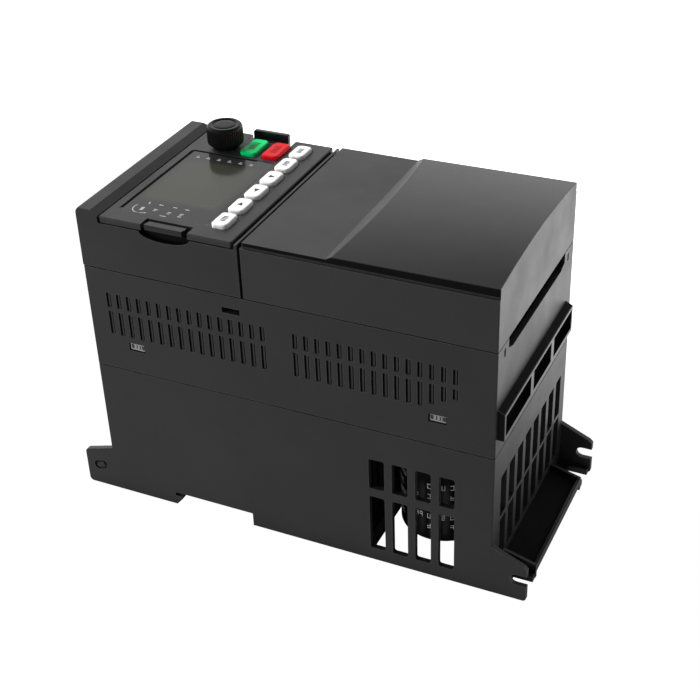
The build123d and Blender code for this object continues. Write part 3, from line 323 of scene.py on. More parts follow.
ceramic = plastic("ceramic", CERAMIC, 0.5, grain=0.3, wear_and_highlight=0.0)
cream_nylon = plastic("cream_nylon", CONNECTOR_CREAM, 0.45, grain=0.4, wear_and_highlight=0.1)
light_ink = plastic("light_ink", INK_LIGHT, 0.6, grain=0.2, relief=0.004, wear_and_highlight=0.0)
can_ink = plastic("can_ink", CAN_INK, 0.6, grain=0.2, relief=0.004, wear_and_highlight=0.0)
# Near black for strips of painted shade on the film and in the louvres
deep_shade_ink = plastic("deep_shade_ink", DEEP_SHADE_BLACK, 0.8, grain=0.2, relief=0.004, wear_and_highlight=0.0, shine=0.05)
dark_ink = plastic("dark_ink", INK_DARK, 0.6, grain=0.2, relief=0.004, wear_and_highlight=0.0)
green_ink = plastic("green_ink", shade(KEY_GREEN, 0.25), 0.6, grain=0.2, relief=0.004, wear_and_highlight=0.0)
red_ink = plastic("red_ink", shade(KEY_RED, 0.35), 0.6, grain=0.2, relief=0.004, wear_and_highlight=0.0)
steel = metal("zinc_steel", STEEL, 0.32)
tin = metal("tinned_leads", TIN, 0.30)
can_metal = metal("can_aluminium", CAN_METAL, 0.30)
# Near black finish on the heat sink fins
dark_fin_finish = plastic("dark_fins", FIN_BLACK, 0.42, grain=0.5, wear_and_highlight=0.15)
brass = metal("turned_brass", BRASS, 0.28, brush=(12.0, 12.0, 1.0))

# Places on the drive, in metres; the pairs are limits between which a finish or the painted shade
# changes
FAN_FACE = -0.0818           # fan end face of the housings
CABLE_FACE = 0.0815          # cable end face
PAD_FACE = 0.1278            # flat pad of the terminal cover
ARCH_START = FAN_FACE + 0.1005
ARCH_END = 0.0812
ARCH_HEIGHTS = (PAD_FACE - 0.0012, 0.1400)
ARCH_STEP = 28.0             # degrees, rise of the step from the pad to the arch
PAST_END = (CABLE_FACE + 0.0004, CABLE_FACE + 0.0300)
HOOD_HEIGHTS = (0.0600, 0.0900)
TRAY_HEIGHTS = (0.0022, 0.0120)
TRAY_WIDTH = (-0.0300, 0.0300)
DISPLAY_LENGTH = (FAN_FACE + 0.0160, FAN_FACE + 0.0470)
DISPLAY_WIDTH = (-0.0225, 0.0125)


def inside(shader, axis, low, high, blur):
    """1 between two planes across an axis of the object, 0 outside, blurred by that many metres."""
    parts = shader.add("ShaderNodeSeparateXYZ")
    shader.link(shader.place, parts.inputs["Vector"])
    value = parts.outputs[axis]
    rise = shader.ramp(value, low - blur, low + blur)
    fall = shader.ramp(value, high - blur, high + blur, 1.0, 0.0)
    return shader.math("MULTIPLY", rise, fall)


def housing_finish():
    """Charcoal plastic with strong painted highlights on its edges, and painted shade: darker and
    smoother on the hood and in the tray.
    """
    shader = plastic("housing_plastic", CHARCOAL, 0.46, wear_and_highlight=0.7, shine=0.45)
    past_end = inside(shader, "X", *PAST_END, 0.0002)
    hood = inside(shader, "Z", *HOOD_HEIGHTS, 0.0005)
    tray = shader.math("MULTIPLY", inside(shader, "Z", *TRAY_HEIGHTS, 0.0003),
                       inside(shader, "Y", *TRAY_WIDTH, 0.0003))
    # Painted shade: near black past the cable end, on the hood and in the tray
    dark = shader.math("MULTIPLY", past_end, shader.math("MAXIMUM", hood, tray))
    shader.patch(dark, SHADE_BLACK, 0.34)
    return shader


def cover_finish():
    """Charcoal plastic, grained on the flat pad and sides, polished on the raised arch."""
    shader = plastic("cover_plastic", COVER_CHARCOAL, 0.44, shine=0.42)
    # Beyond the sloping step that rises from the end of the pad
    slope = 1.0 / math.tan(math.radians(ARCH_STEP))
    parts = shader.add("ShaderNodeSeparateXYZ")
    shader.link(shader.place, parts.inputs["Vector"])
    lean = shader.math("MULTIPLY", parts.outputs["Z"], slope)
    past = shader.math("SUBTRACT", parts.outputs["X"], lean)
    foot = ARCH_START - slope * PAD_FACE
    arch = shader.ramp(past, foot + 0.0002, foot + 0.0005)
    arch = shader.math("MULTIPLY", arch, inside(shader, "X", ARCH_START, ARCH_END, 0.0002))
    arch = shader.math("MULTIPLY", arch, inside(shader, "Z", *ARCH_HEIGHTS, 0.0003))
    polish = shader.ramp(shader.noise(25.0, 3.0), 0.3, 0.7, 0.13, 0.19)
    shader.patch(arch, POLISHED, polish)
    return shader


def film_finish():
    """Smoked glossy film with the grey-green display showing through its middle."""
    shader = plastic("window_film", SMOKED, 0.15, grain=2.0, relief=0.002, wear_and_highlight=0.0, shine=0.34)
    shown = inside(shader, "X", *DISPLAY_LENGTH, 0.0015)
    shown = shader.math("MULTIPLY", shown, inside(shader, "Y", *DISPLAY_WIDTH, 0.0015))
    cloud = shader.ramp(shader.noise(30.0, 2.0), 0.35, 0.65)
    shader.patch(shown, shader.mix(cloud, shade(DISPLAY, 0.85), shade(DISPLAY, 1.12)))
    return shader


housing = housing_finish()
cover_plastic = cover_finish()
film = film_finish()
display_glass = plastic("display_glass", DISPLAY, 0.2, grain=2.0, relief=0.001, wear_and_highlight=0.0)

BY_SLOT = {
    "housing_grey": housing, "cover_grey": cover_plastic, "keypad_grey": keypad_plastic,
    "window_film": film, "display_glass": display_glass, "key_white": key_white,
    "key_green": key_green, "key_red": key_red, "knob_black": knob_plastic,
    "latch_black": latch_plastic, "circuit_board": board, "component_black": black_plastic,
    "terminal_plastic": black_plastic, "relay_plastic": relay_plastic, "coil_tape": tape,
    "capacitor_sleeve": sleeve, "sink_aluminium": dark_fin_finish, "screw_steel": steel,
    "standoff_brass": brass, "pad_grey": pad_rubber, "fan_black": fan_plastic,
    "led_lens": lens_plastic, "clip_light": clip_plastic,
}
for node in NODES:
    paint(node, BY_SLOT[SLOT_OF[node]])

EDGE_WIDTHS = {
    "base_housing": 0.3, "middle_housing": 0.22, "upper_housing": 0.35,
    "keypad_bezel": 0.15, "near_latch": 0.25, "far_latch": 0.3, "fan_door": 0.25,
    "fan_frame": 0.2, "heatsink": 0.2, "rail_clip": 0.2, "housing_clips": 0.2,
}
for node, width in EDGE_WIDTHS.items():
    soften(node, width, angle=20.0)
soften("terminal_cover", 0.22, angle=14.0)


# ---------------------------------------------------------------- printed marks
def prism(bm, outline, low, high):
    """Closed flat-topped solid on an outline in plan, all in metres."""
    floor = [bm.verts.new((x, y, low)) for x, y in outline]
    top = [bm.verts.new((x, y, high)) for x, y in outline]
    bm.faces.new(list(reversed(floor)))
    bm.faces.new(top)
    for index in range(len(outline)):
        after = (index + 1) % len(outline)
        bm.faces.new((floor[index], floor[after], top[after], top[index]))


def bar(middle, length, width, turn=0.0):
    """Outline of a bar, millimetres in plan, turned by degrees."""
    cosine, sine = math.cos(math.radians(turn)), math.sin(math.radians(turn))
    corners = ((-length, -width), (length, -width), (length, width), (-length, width))
    return [((middle[0] + (x * cosine - y * sine) / 2) * MM,
             (middle[1] + (x * sine + y * cosine) / 2) * MM) for x, y in corners]


def triangle(middle, size, turn):
    """Outline of an arrowhead pointing along turn."""
    points = []
    for angle, reach in ((0, 1.0), (130, 0.95), (230, 0.95)):
        spot = math.radians(angle + turn)
        points.append(((middle[0] + size * reach * math.cos(spot)) * MM,
                       (middle[1] + size * reach * math.sin(spot)) * MM))
    return points


def arc(middle, radius, width, start, end):
    """Outline of a curved band from start to end degrees."""
    steps = 10
    points = []
    for reach, order in ((radius + width / 2, range(steps + 1)),
                         (radius - width / 2, range(steps, -1, -1))):
        for step in order:
            spot = math.radians(start + (end - start) * step / steps)
            points.append(((middle[0] + reach * math.cos(spot)) * MM,
                           (middle[1] + reach * math.sin(spot)) * MM))
    return points


def marks(name, body, shader, outlines, height):
    """Printed marks, and strips of painted shade, standing a hair above a face at that height."""
    bm = bmesh.new()
    for outline in outlines:
        prism(bm, outline, height - 0.02 * MM, height + 0.03 * MM)
    finish_mesh(name, bm, body, [shader], smooth=False)


def fan_x(distance):
    """X in millimetres of a point given from the fan end face."""
    return distance + FAN_FACE / MM


# Legends on the film, in millimetres: distance from the fan end face, and Y
KNOB_ROW = (18.3, 22.8, 27.5, 32.1, 36.8, 41.4)
KNOB_ROW_Y = 15.1
KNOB_ROW_DRIFT = 0.15        # rise of Y from one legend of the row to the next
LATCH_GROUPS = ((26.4, -29.6), (32.4, -30.0), (37.4, -29.6))


def window_marks():
    """Small light legends on the film: a row of six by the knob and four groups by the near latch; and
    painted shade along two edges of the film.
    """
    legends = []
    for index, distance in enumerate(KNOB_ROW):
        y = KNOB_ROW_Y + KNOB_ROW_DRIFT * index
        legends.append(bar((fan_x(distance), y), 1.5, 0.55))
        legends.append(bar((fan_x(distance - 0.2), y + 1.0), 0.9, 0.4))
    # Turning arrow round a short legend
    legends.append(arc((fan_x(21.2), -30.3), 3.7, 0.42, 150, 310))
    legends.append(triangle((fan_x(23.9), -33.4), 0.8, 35))
    legends.append(bar((fan_x(21.2), -30.6), 1.3, 2.3))
    legends.append(bar((fan_x(21.5), -25.9), 0.5, 1.6, 20))
    for distance, y in LATCH_GROUPS:
        legends.append(bar((fan_x(distance), y), 1.5, 0.55))
        legends.append(bar((fan_x(distance - 0.1), y - 1.0), 1.1, 0.45))
        legends.append(bar((fan_x(distance), -25.8), 1.7, 0.55))
    legends.append(bar((fan_x(37.4), -31.6), 1.5, 0.5))
    legends.append(bar((fan_x(31.4), -33.2), 2.6, 0.45))
    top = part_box("window_film")[1][2]
    marks("window_marks", "keypad", light_ink, legends, top)
    # Painted shade: black strips along the fan-end and far edges of the film, with a curve at their
    # corner
    low, high = ([value / MM for value in corner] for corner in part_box("window_film"))
    edge_shade = [bar((low[0] + 0.52, (low[1] + high[1]) / 2), 0.9, high[1] - low[1] - 2.6),
              bar(((low[0] + high[0]) / 2 - 3.0, high[1] - 0.42), high[0] - low[0] - 9.0, 0.7),
              arc((low[0] + 1.45, high[1] - 1.45), 1.0, 0.8, 90, 180)]
    marks("window_edge_shade", "keypad", deep_shade_ink, edge_shade, top)


# Marks on the keys: which way an arrowhead points, in degrees, and (Y from the middle, length) of
# bars, which stand in for a word and spell nothing
KEYS = ("key_1", "key_2", "key_3", "key_4", "key_5", "key_6", "run_key", "stop_key")
KEY_ARROWS = {"key_2": 90, "key_3": -90, "key_4": 0}
LONG_MARK = ((-2.6, 2.6), (-1.3, 2.2), (0.0, 2.6), (1.3, 2.4), (2.6, 2.6))
SHORT_MARK = ((-1.5, 2.1), (-0.5, 1.8), (0.5, 2.1), (1.5, 1.9))
KEY_INKS = {"run_key": (green_ink, "key_green"), "stop_key": (red_ink, "key_red")}


def key_marks():
    """Dark generic marks on the keys: arrowheads on three of them, short bars on the others."""
    for key in KEYS:
        low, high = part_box(key)
        middle = ((low[0] + high[0]) / 2 / MM, (low[1] + high[1]) / 2 / MM)
        bars, width = (LONG_MARK, 0.75) if key in KEY_INKS else (SHORT_MARK, 0.6)
        if key in KEY_ARROWS:
            outlines = [triangle(middle, 1.5, KEY_ARROWS[key])]
        else:
            outlines = [bar((middle[0], middle[1] + shift), length, width) for shift, length in bars]
        ink, slot = KEY_INKS.get(key, (dark_ink, "key_white"))
        marks(key + "_mark", key, ink, outlines, high[2])


def clip_marks():
    """Small dark pressed lines on the clips that show in the side windows."""
    bm = bmesh.new()
    low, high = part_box("housing_clips")
    # Start and end of each line on one clip, and how far its top is from the clip's, in shares of 0.7 mm
    lines = ((0.5, 1.7, 0.35), (2.6, 3.1, 0.5), (4.0, 4.5, 0.5), (5.0, 6.2, 0.35))
    for face in (low[1] / MM, high[1] / MM):
        for start in (low[0] / MM, high[0] / MM - 6.4):
            for left, right, depth in lines:
                block(bm, (start + left, face - 0.03, low[2] / MM + 0.7),
                      (start + right, face + 0.03, high[2] / MM - 0.7 * depth))
    finish_mesh("clip_marks", bm, "drive", [dark_ink], smooth=False)


# ---------------------------------------------------------------- knob and capacitors
def lathe(bm, profile, centre, columns=64, flute=None, material=0):
    """Turned solid on a vertical axis: profile is (radius, height) from the axis out and back to it.

    Flute takes a ring's index and an angle and gives the radius to take off.
    """
    rings = []
    for row, (radius, height) in enumerate(profile):
        if radius == 0:
            rings.append([bm.verts.new((centre[0], centre[1], height))])
            continue
        ring = []
        for column in range(columns):
            angle = 2 * math.pi * column / columns
            reach = radius - (flute(row, angle) if flute else 0.0)
            ring.append(bm.verts.new((centre[0] + reach * math.cos(angle),
                                      centre[1] + reach * math.sin(angle), height)))
        rings.append(ring)
    for low, high in zip(rings, rings[1:]):
        for column in range(columns):
            after = (column + 1) % columns
            corners = [low[column % len(low)], low[after % len(low)], high[after % len(high)],
                       high[column % len(high)]]
            face = bm.faces.new(list(dict.fromkeys(corners)))
            face.material_index = material


def make_knob():
    """Fluted knob with a rounded rim, a dished top and a raised centre."""
    low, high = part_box("knob")
    centre = ((low[0] + high[0]) / 2, (low[1] + high[1]) / 2)
    base, top, radius = low[2], high[2], (high[0] - low[0]) / 2
    grip = 7.2                   # widest radius in the rows, which are scaled to the CAD node's
    # Radius with height above the base, then radius with depth below the top
    up = ((0.0, 0.0), (5.3, 0.0), (5.4, 0.1), (5.4, 1.5), (6.6, 1.5), (7.0, 1.7), (grip, 2.1),
          (grip, 3.6), (grip, 5.2))
    down = ((7.15, 1.5), (7.05, 0.9), (6.8, 0.4), (6.4, 0.1), (6.0, 0.0), (5.0, 0.03), (4.75, 0.25),
            (4.55, 0.45), (4.35, 0.45), (4.15, 0.2), (3.9, 0.12), (2.0, 0.12), (0.0, 0.12))
    profile = [(reach * radius / grip, base + rise * MM) for reach, rise in up]
    profile += [(reach * radius / grip, top - fall * MM) for reach, fall in down]

    def flute(row, angle):
        """48 grooves, deepest on the upright rows of the profile and dying out above and below."""
        depth = {6: 0.12, 7: 0.24, 8: 0.24, 9: 0.22, 10: 0.08}.get(row, 0.0)
        return depth * MM * (0.5 + 0.5 * math.cos(48 * angle))

    bm = bmesh.new()
    lathe(bm, profile, centre, columns=384, flute=flute)
    knob = finish_mesh("knob_grip", bm, "knob", [knob_plastic])
    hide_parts("knob")


def wrap(bm, centre, radius, angles, heights, thickness):
    """Thin closed patch bent round a vertical cylinder."""
    steps = 2
    shells = []
    for reach in (radius - 0.02 * MM, radius + thickness):
        rows = []
        for height in heights:
            row = []
            for step in range(steps + 1):
                angle = math.radians(angles[0] + (angles[1] - angles[0]) * step / steps)
                row.append(bm.verts.new((centre[0] + reach * math.cos(angle),
                                         centre[1] + reach * math.sin(angle), height)))
            rows.append(row)
        shells.append(rows)
    inner, outer = shells
    quads = []
    for step in range(steps):
        quads.append((outer[0][step], outer[0][step + 1], outer[1][step + 1], outer[1][step]))
        quads.append((inner[1][step], inner[1][step + 1], inner[0][step + 1], inner[0][step]))
        for end in (0, 1):
            quads.append((inner[end][step], inner[end][step + 1],
                          outer[end][step + 1], outer[end][step]))
    for step in (0, steps):
        quads.append((inner[0][step], outer[0][step], outer[1][step], inner[1][step]))
    for quad in quads:
        bm.faces.new(quad)


def make_capacitor_details():
    """Light meaningless strokes round the sleeves, and the bare metal end of each can."""
    low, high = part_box("dc_link_capacitors")
    radius = (high[0] - low[0]) / 2
    middle_x = (low[0] + high[0]) / 2
    prints = bmesh.new()
    ends = bmesh.new()
    chance = random.Random(11)
    # Strokes of one cell: (left, right, low, high) as shares of it
    strokes = ((0.0, 0.2, 0.0, 1.0), (0.8, 1.0, 0.0, 1.0), (0.0, 1.0, 0.85, 1.0),
               (0.0, 1.0, 0.42, 0.57), (0.0, 1.0, 0.0, 0.15))
    cell_width, cell_step = 4.6, 6.2         # degrees round the sleeve
    cell_height, row_step = 2.2, 4.7         # millimetres up it
    first_row = 6.0
    # Metal end: radius, and height from the foot of the can
    can_end = ((0.0, 0.6), (12.9, 0.6), (13.6, -0.2), (15.3, -0.3), (15.9, 0.3), (15.9, 0.9),
               (0.0, 0.9))
    for side in (-1, 1):
        centre = (middle_x, side * (high[1] - radius))
        for turn in range(-92, 268, 30):
            for row in range(9):
                if chance.random() < 0.25:
                    continue
                height = low[2] + (first_row + row_step * row) * MM
                for cell in range(4 if row % 3 else 3):
                    start = turn + cell_step * cell
                    for left, right, foot, top in chance.sample(strokes, 3):
                        wrap(prints, centre, radius,
                             (start + cell_width * left, start + cell_width * right),
                             (height + cell_height * foot * MM, height + cell_height * top * MM),
                             0.05 * MM)
        profile = [(reach * MM, low[2] + rise * MM) for reach, rise in can_end]
        lathe(ends, profile, centre, columns=48)
    finish_mesh("capacitor_prints", prints, "drive", [can_ink], smooth=False)
    finish_mesh("capacitor_ends", ends, "drive", [can_metal])


# ---------------------------------------------------------------- small board parts
def block(bm, low, high, material=0, chamfer=0.0):
    """Box between two corners in millimetres, its top edges cut back by the chamfer."""
    x0, y0, z0 = (value * MM for value in low)
    x1, y1, z1 = (value * MM for value in high)
    cut = chamfer * MM
    rings = [((x0, y0, x1, y1), z0), ((x0, y0, x1, y1), z1 - cut),
             ((x0 + cut, y0 + cut, x1 - cut, y1 - cut), z1)]
    if not chamfer:
        rings = rings[:2]
    rows = [[bm.verts.new(point) for point in ((a, b, z), (c, b, z), (c, d, z), (a, d, z))]
            for (a, b, c, d), z in rings]
    faces = [bm.faces.new(list(reversed(rows[0]))), bm.faces.new(rows[-1])]
    for lower, upper in zip(rows, rows[1:]):
        for index in range(4):
            after = (index + 1) % 4
            faces.append(bm.faces.new((lower[index], lower[after], upper[after], upper[index])))
    for face in faces:
        face.material_index = material


EPOXY_PART, METAL_PART, CERAMIC_PART, CREAM_PART = range(4)
PART_SHADERS = [black_plastic, tin, ceramic, cream_nylon]


def chip(bm, middle, size, base, leads):
    """Epoxy body with a row of bent leads along its two long sides."""
    half_x, half_y = size[0] / 2, size[1] / 2
    block(bm, (middle[0] - half_x, middle[1] - half_y, base + 0.15),
          (middle[0] + half_x, middle[1] + half_y, base + size[2]), EPOXY_PART, 0.25)
    pitch = size[0] / leads
    bend = size[2] * 0.45
    # A lead in three pieces: from and to beyond the body's side, low and high above the board
    pieces = ((-0.1, 0.5, bend, bend + 0.2), (0.4, 1.1, 0.0, 0.2), (0.35, 0.55, 0.0, bend + 0.2))
    for index in range(leads):
        x = middle[0] - half_x + pitch * (index + 0.5)
        for side in (-1, 1):
            for start, end, low, high in pieces:
                near, far = sorted(middle[1] + side * (half_y + out) for out in (start, end))
                block(bm, (x - pitch / 4, near, base + low), (x + pitch / 4, far, base + high),
                      METAL_PART)


def resistor(bm, middle, size, base, turned):
    """Chip resistor or capacitor with two soldered ends."""
    length, width, height = size
    spans = ((-0.5, -0.28, METAL_PART), (-0.3, 0.3, EPOXY_PART), (0.28, 0.5, METAL_PART))
    for start, end, material in spans:
        grow = 0.04 if material == METAL_PART else 0.0
        along_low, along_high = start * length, end * length
        across = width / 2 + grow
        if turned:
            block(bm, (middle[0] - across, middle[1] + along_low, base),
                  (middle[0] + across, middle[1] + along_high, base + height + grow), material, 0.08)
        else:
            block(bm, (middle[0] + along_low, middle[1] - across, base),
                  (middle[0] + along_high, middle[1] + across, base + height + grow), material, 0.08)


def small_can(bm, middle, radius, height, base):
    """Small electrolytic capacitor: sleeve with a rolled rim and a bare metal top."""
    centre = (middle[0] * MM, middle[1] * MM)
    # Shares of the radius and of the height
    sizes = [(0.0, 0.0), (0.95, 0.0), (1.0, 0.04), (1.0, 0.10), (0.94, 0.13), (1.0, 0.17),
             (1.0, 0.95), (0.94, 1.0), (0.80, 1.0)]
    profile = [(radius * MM * reach, (base + height * up) * MM) for reach, up in sizes]
    lathe(bm, profile + [(0.0, (base + height) * MM)], centre, columns=28, material=EPOXY_PART)
    lathe(bm, [(0.0, (base + height * 0.97) * MM), (radius * 0.78 * MM, (base + height * 0.97) * MM),
               (radius * 0.78 * MM, (base + height + 0.08) * MM), (0.0, (base + height + 0.08) * MM)],
          centre, columns=28, material=METAL_PART)


def pin_row(bm, start, count, pitch, base):
    """Cream connector body with a row of square pins."""
    block(bm, (start[0] - 1.2, start[1] - pitch / 2, base),
          (start[0] + 1.2, start[1] + pitch * (count - 0.5), base + 2.6), CREAM_PART, 0.3)
    for index in range(count):
        y = start[1] + pitch * index
        block(bm, (start[0] - 0.3, y - 0.3, base + 2.5), (start[0] + 0.3, y + 0.3, base + 7.0),
              METAL_PART, 0.12)


def scatter(bm, area, count, base, chance, kept_clear):
    """Chip resistors on a grid over an area, leaving places that are kept clear."""
    grid, margin = 1.6, 1.4
    for _ in range(count):
        x = area[0] + chance.randrange(int((area[2] - area[0]) / grid)) * grid
        y = area[1] + chance.randrange(int((area[3] - area[1]) / grid)) * grid
        if any(a - margin < x < c + margin and b - margin < y < d + margin
               for a, b, c, d in kept_clear):
            continue
        kept_clear.append((x - 0.9, y - 0.9, x + 0.9, y + 0.9))
        resistor(bm, (x, y), (1.7, 0.85, 0.5), base, chance.random() < 0.5)


def plan_box(node):
    """Plan limits of a CAD node in millimetres, grown a little."""
    grow = 0.6
    low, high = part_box(node)
    return (low[0] / MM - grow, low[1] / MM - grow, high[0] / MM + grow, high[1] / MM + grow)


def side_prism(bm, outline, near, far):
    """Closed solid on an outline of X and Z, between two Y limits, all in millimetres."""
    rows = [[bm.verts.new((x * MM, y * MM, z * MM)) for x, z in outline] for y in (near, far)]
    bm.faces.new(rows[0])
    bm.faces.new(list(reversed(rows[1])))
    for index in range(len(outline)):
        after = (index + 1) % len(outline)
        bm.faces.new((rows[0][index], rows[0][after], rows[1][after], rows[1][index]))


def sheet(start, start_z, end, end_z):
    """Outline in X and Z of a thin sheet, given the two ends of its lower face."""
    thickness = 0.12
    return ((start, start_z), (end, end_z), (end, end_z + thickness), (start, start_z + thickness))


def shade_piece(name, body, prisms):
    """Matt black piece of painted shade made of (outline, near, far) prisms."""
    bm = bmesh.new()
    for outline, near, far in prisms:
        side_prism(bm, outline, near, far)
    finish_mesh(name, bm, body, [painted_shade_matt], smooth=False)


def make_shade_pieces():
    """Thin matt black pieces where the photo is nearly black from shade and reflections."""
    face = CABLE_FACE / MM
    # Painted shade on the sloping tray at the cable end
    shade_piece("tray_painted_shade", "drive",
           [(sheet(face + 0.1, 7.53, face + 11.6, 3.98), -27.5, 27.5)])
    # Painted shade on the sloping top of the hood and on its two ends
    hood_low, hood_high = -41.5, 36.4
    hood_end = ((face + 0.2, 69.6), (face + 2.6, 69.6), (face + 2.6, 80.2), (face + 0.2, 81.5))
    prisms = [(sheet(face + 0.2, 81.83, face + 2.6, 80.50), hood_low + 0.3, hood_high - 0.3)]
    prisms += [(hood_end, y - 0.05, y + 0.05) for y in (hood_low, hood_high)]
    shade_piece("hood_painted_shade", "drive", prisms)
    # Shadow band round the inset top of the terminal cover, following the step up to the arch
    start, end, foot, brow = fan_x(68.7), face - 0.2, 126.4, 127.6
    band = ((start, foot), (end, foot), (end, 129.2), (fan_x(102.9), 128.65), (fan_x(100.7), brow),
            (start, brow))
    shade_piece("cover_band", "terminal_cover",
           [(band, side * 41.55, side * 41.66) for side in (-1, 1)])
    # Painted shade in the finger recesses below the keypad latches: half an ellipse, on its back and its
    # curved wall
    recess_top, steps = 124.5, 24
    prisms = []
    for side, middle in ((-1, fan_x(37.0)), (1, fan_x(38.4))):
        rim, inner = ([(middle + across * math.cos(math.pi * step / steps),
                        recess_top - down * math.sin(math.pi * step / steps))
                       for step in range(steps + 1)] for across, down in ((10.38, 2.98), (10.28, 2.88)))
        prisms += [(inner, side * 40.02, side * 40.10), (rim + inner[::-1], side * 40.02, side * 42.25)]
    shade_piece("recess_painted_shade", "drive", prisms)


# Louvres: start from the fan end face, pitch, how many, and how many of them have their full height
LOUVRE_GROUPS = ((8.35, 4.33, 16, 16), (86.35, 4.36, 15, 12))
LOUVRE_ROWS = ((77.0, 87.3), (88.9, 95.3))
LOUVRE_SHORTENED = 1.9       # each of the others starts this much higher than the one before
# Painted shadow lines in a louvre: distance from its fan-end edge, and width
SHADE_LINES = ((0.03, 0.55), (1.42, 0.24))
SHADE_DEPTHS = (41.95, 42.15)  # distance from the drive's middle plane


def make_louvre_painted_shade():
    """Painted shade: a black strip along the fan-end edge of each louvre on both sides, and a fine one
    opposite.
    """
    bm = bmesh.new()
    for start, pitch, count, full in LOUVRE_GROUPS:
        for column in range(count):
            left = fan_x(start + column * pitch)
            shorter = LOUVRE_SHORTENED * max(0, column + 1 - full)
            lower, upper = LOUVRE_ROWS
            for low, high in ((lower[0] + shorter, lower[1]), upper):
                for from_edge, width in SHADE_LINES:
                    for side in (-1, 1):
                        near, far = sorted(side * depth for depth in SHADE_DEPTHS)
                        block(bm, (left + from_edge, near, low + 0.25),
                              (left + from_edge + width, far, high - 0.25))
    finish_mesh("louvre_painted_shade", bm, "drive", [deep_shade_ink], smooth=False)


# Parts on the boards, in millimetres
# Chips: middle, size, leads on a side. Cans: middle, radius, height
CONTROL_CHIPS = (((-16.0, -24.0), (9.0, 4.0, 1.6), 8), ((-30.0, 22.0), (7.0, 4.0, 1.6), 7),
                 ((-62.0, -22.0), (10.0, 4.4, 1.8), 10), ((-4.0, -6.0), (6.0, 4.0, 1.5), 4),
                 ((-60.0, 24.0), (6.0, 4.0, 1.5), 4))
CONTROL_CANS = (((-8.0, -30.0), 2.5, 6.0), ((-1.0, -30.0), 2.5, 6.0), ((-36.0, 32.0), 3.1, 7.0),
                ((-68.0, 8.0), 3.1, 7.0), ((-68.0, -2.0), 3.1, 7.0), ((-14.0, 6.0), 2.0, 5.4))
POWER_CHIPS = (((-6.0, -20.0), (9.0, 4.0, 1.6), 8), ((30.0, 6.0), (8.0, 4.2, 1.8), 6))
POWER_CANS = (((-38.0, -16.0), 5.0, 16.0), ((-26.0, -16.0), 5.0, 16.0), ((46.0, 28.0), 4.0, 11.0),
              ((-10.0, 26.0), 4.0, 12.0), ((2.0, 26.0), 4.0, 12.0))
# Places kept clear of chip resistors: low X, low Y, high X, high Y
PIN_ROW_PLACE = (-38.0, -33.0, -34.0, -19.0)
CERAMIC_PLACE = (41.0, -24.5, 60.0, -12.0)
STANDOFF_PLACES = [(9.0, -37.0, 15.5, -31.0), (9.0, 31.0, 15.5, 37.0), (-55.0, -37.0, -48.0, -31.0),
                   (-55.0, 31.0, -48.0, 37.0)]


def place_chips(bm, chips, base, kept_clear):
    """Chips, each keeping its place and its leads' places clear."""
    for (x, y), size, leads in chips:
        chip(bm, (x, y), size, base, leads)
        half_x, half_y = size[0] / 2, size[1] / 2 + 1.5
        kept_clear.append((x - half_x, y - half_y, x + half_x, y + half_y))


def place_cans(bm, cans, base, kept_clear):
    """Small cans, each keeping its place clear."""
    for (x, y), radius, height in cans:
        small_can(bm, (x, y), radius, height, base)
        kept_clear.append((x - radius, y - radius, x + radius, y + radius))


def make_board_parts():
    """Small parts soldered on the two main boards."""
    chance = random.Random(7)
    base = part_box("control_pcb")[1][2] / MM
    clear = [plan_box(node) for node in ("control_terminal_block", "fault_relay", "processor_chip",
                                         "keypad_connector")]
    bm = bmesh.new()
    place_chips(bm, CONTROL_CHIPS, base, clear)
    place_cans(bm, CONTROL_CANS, base, clear)
    pin_row(bm, (-36.0, -31.0), 5, 2.5, base)
    clear.append(PIN_ROW_PLACE)
    scatter(bm, (-72.0, -34.0, 4.0, 34.0), 240, base, chance, clear)
    finish_mesh("control_board_parts", bm, "drive", PART_SHADERS, smooth=False)

    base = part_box("power_pcb")[1][2] / MM
    clear = [plan_box(node) for node in ("switching_transformer", "precharge_relay",
                                         "power_terminal_block")]
    clear += STANDOFF_PLACES
    bm = bmesh.new()
    place_cans(bm, POWER_CANS, base, clear)
    for index in range(4):       # upright ceramic resistors
        x, y = 44.0 + 4.4 * index, -18.0
        block(bm, (x - 1.6, y - 5.2, base + 0.4), (x + 1.6, y + 5.2, base + 11.0), CERAMIC_PART, 0.6)
    clear.append(CERAMIC_PLACE)
    place_chips(bm, POWER_CHIPS, base, clear)
    scatter(bm, (-54.0, -35.0, 60.0, 35.0), 200, base, chance, clear)
    finish_mesh("power_board_parts", bm, "drive", PART_SHADERS, smooth=False)


window_marks()
key_marks()
clip_marks()
make_knob()
make_capacitor_details()
make_shade_pieces()
make_louvre_painted_shade()
make_board_parts()


# ---------------------------------------------------------------- floor, light and camera
FLOOR_HALF = 30.0            # metres, so that the floor reaches the horizon in low views
FLOOR_DROP = 0.0002
BOUNCE_NEAR, BOUNCE_BEHIND = 0.40, 2.1   # light off the floor on the near side and past the cable end
BOUNCE_TOWARDS = (0.43, 0.90, 0.0)       # direction in plan in which it grows
BOUNCE_UNDER = 0.03                      # what is left of it beneath the drive


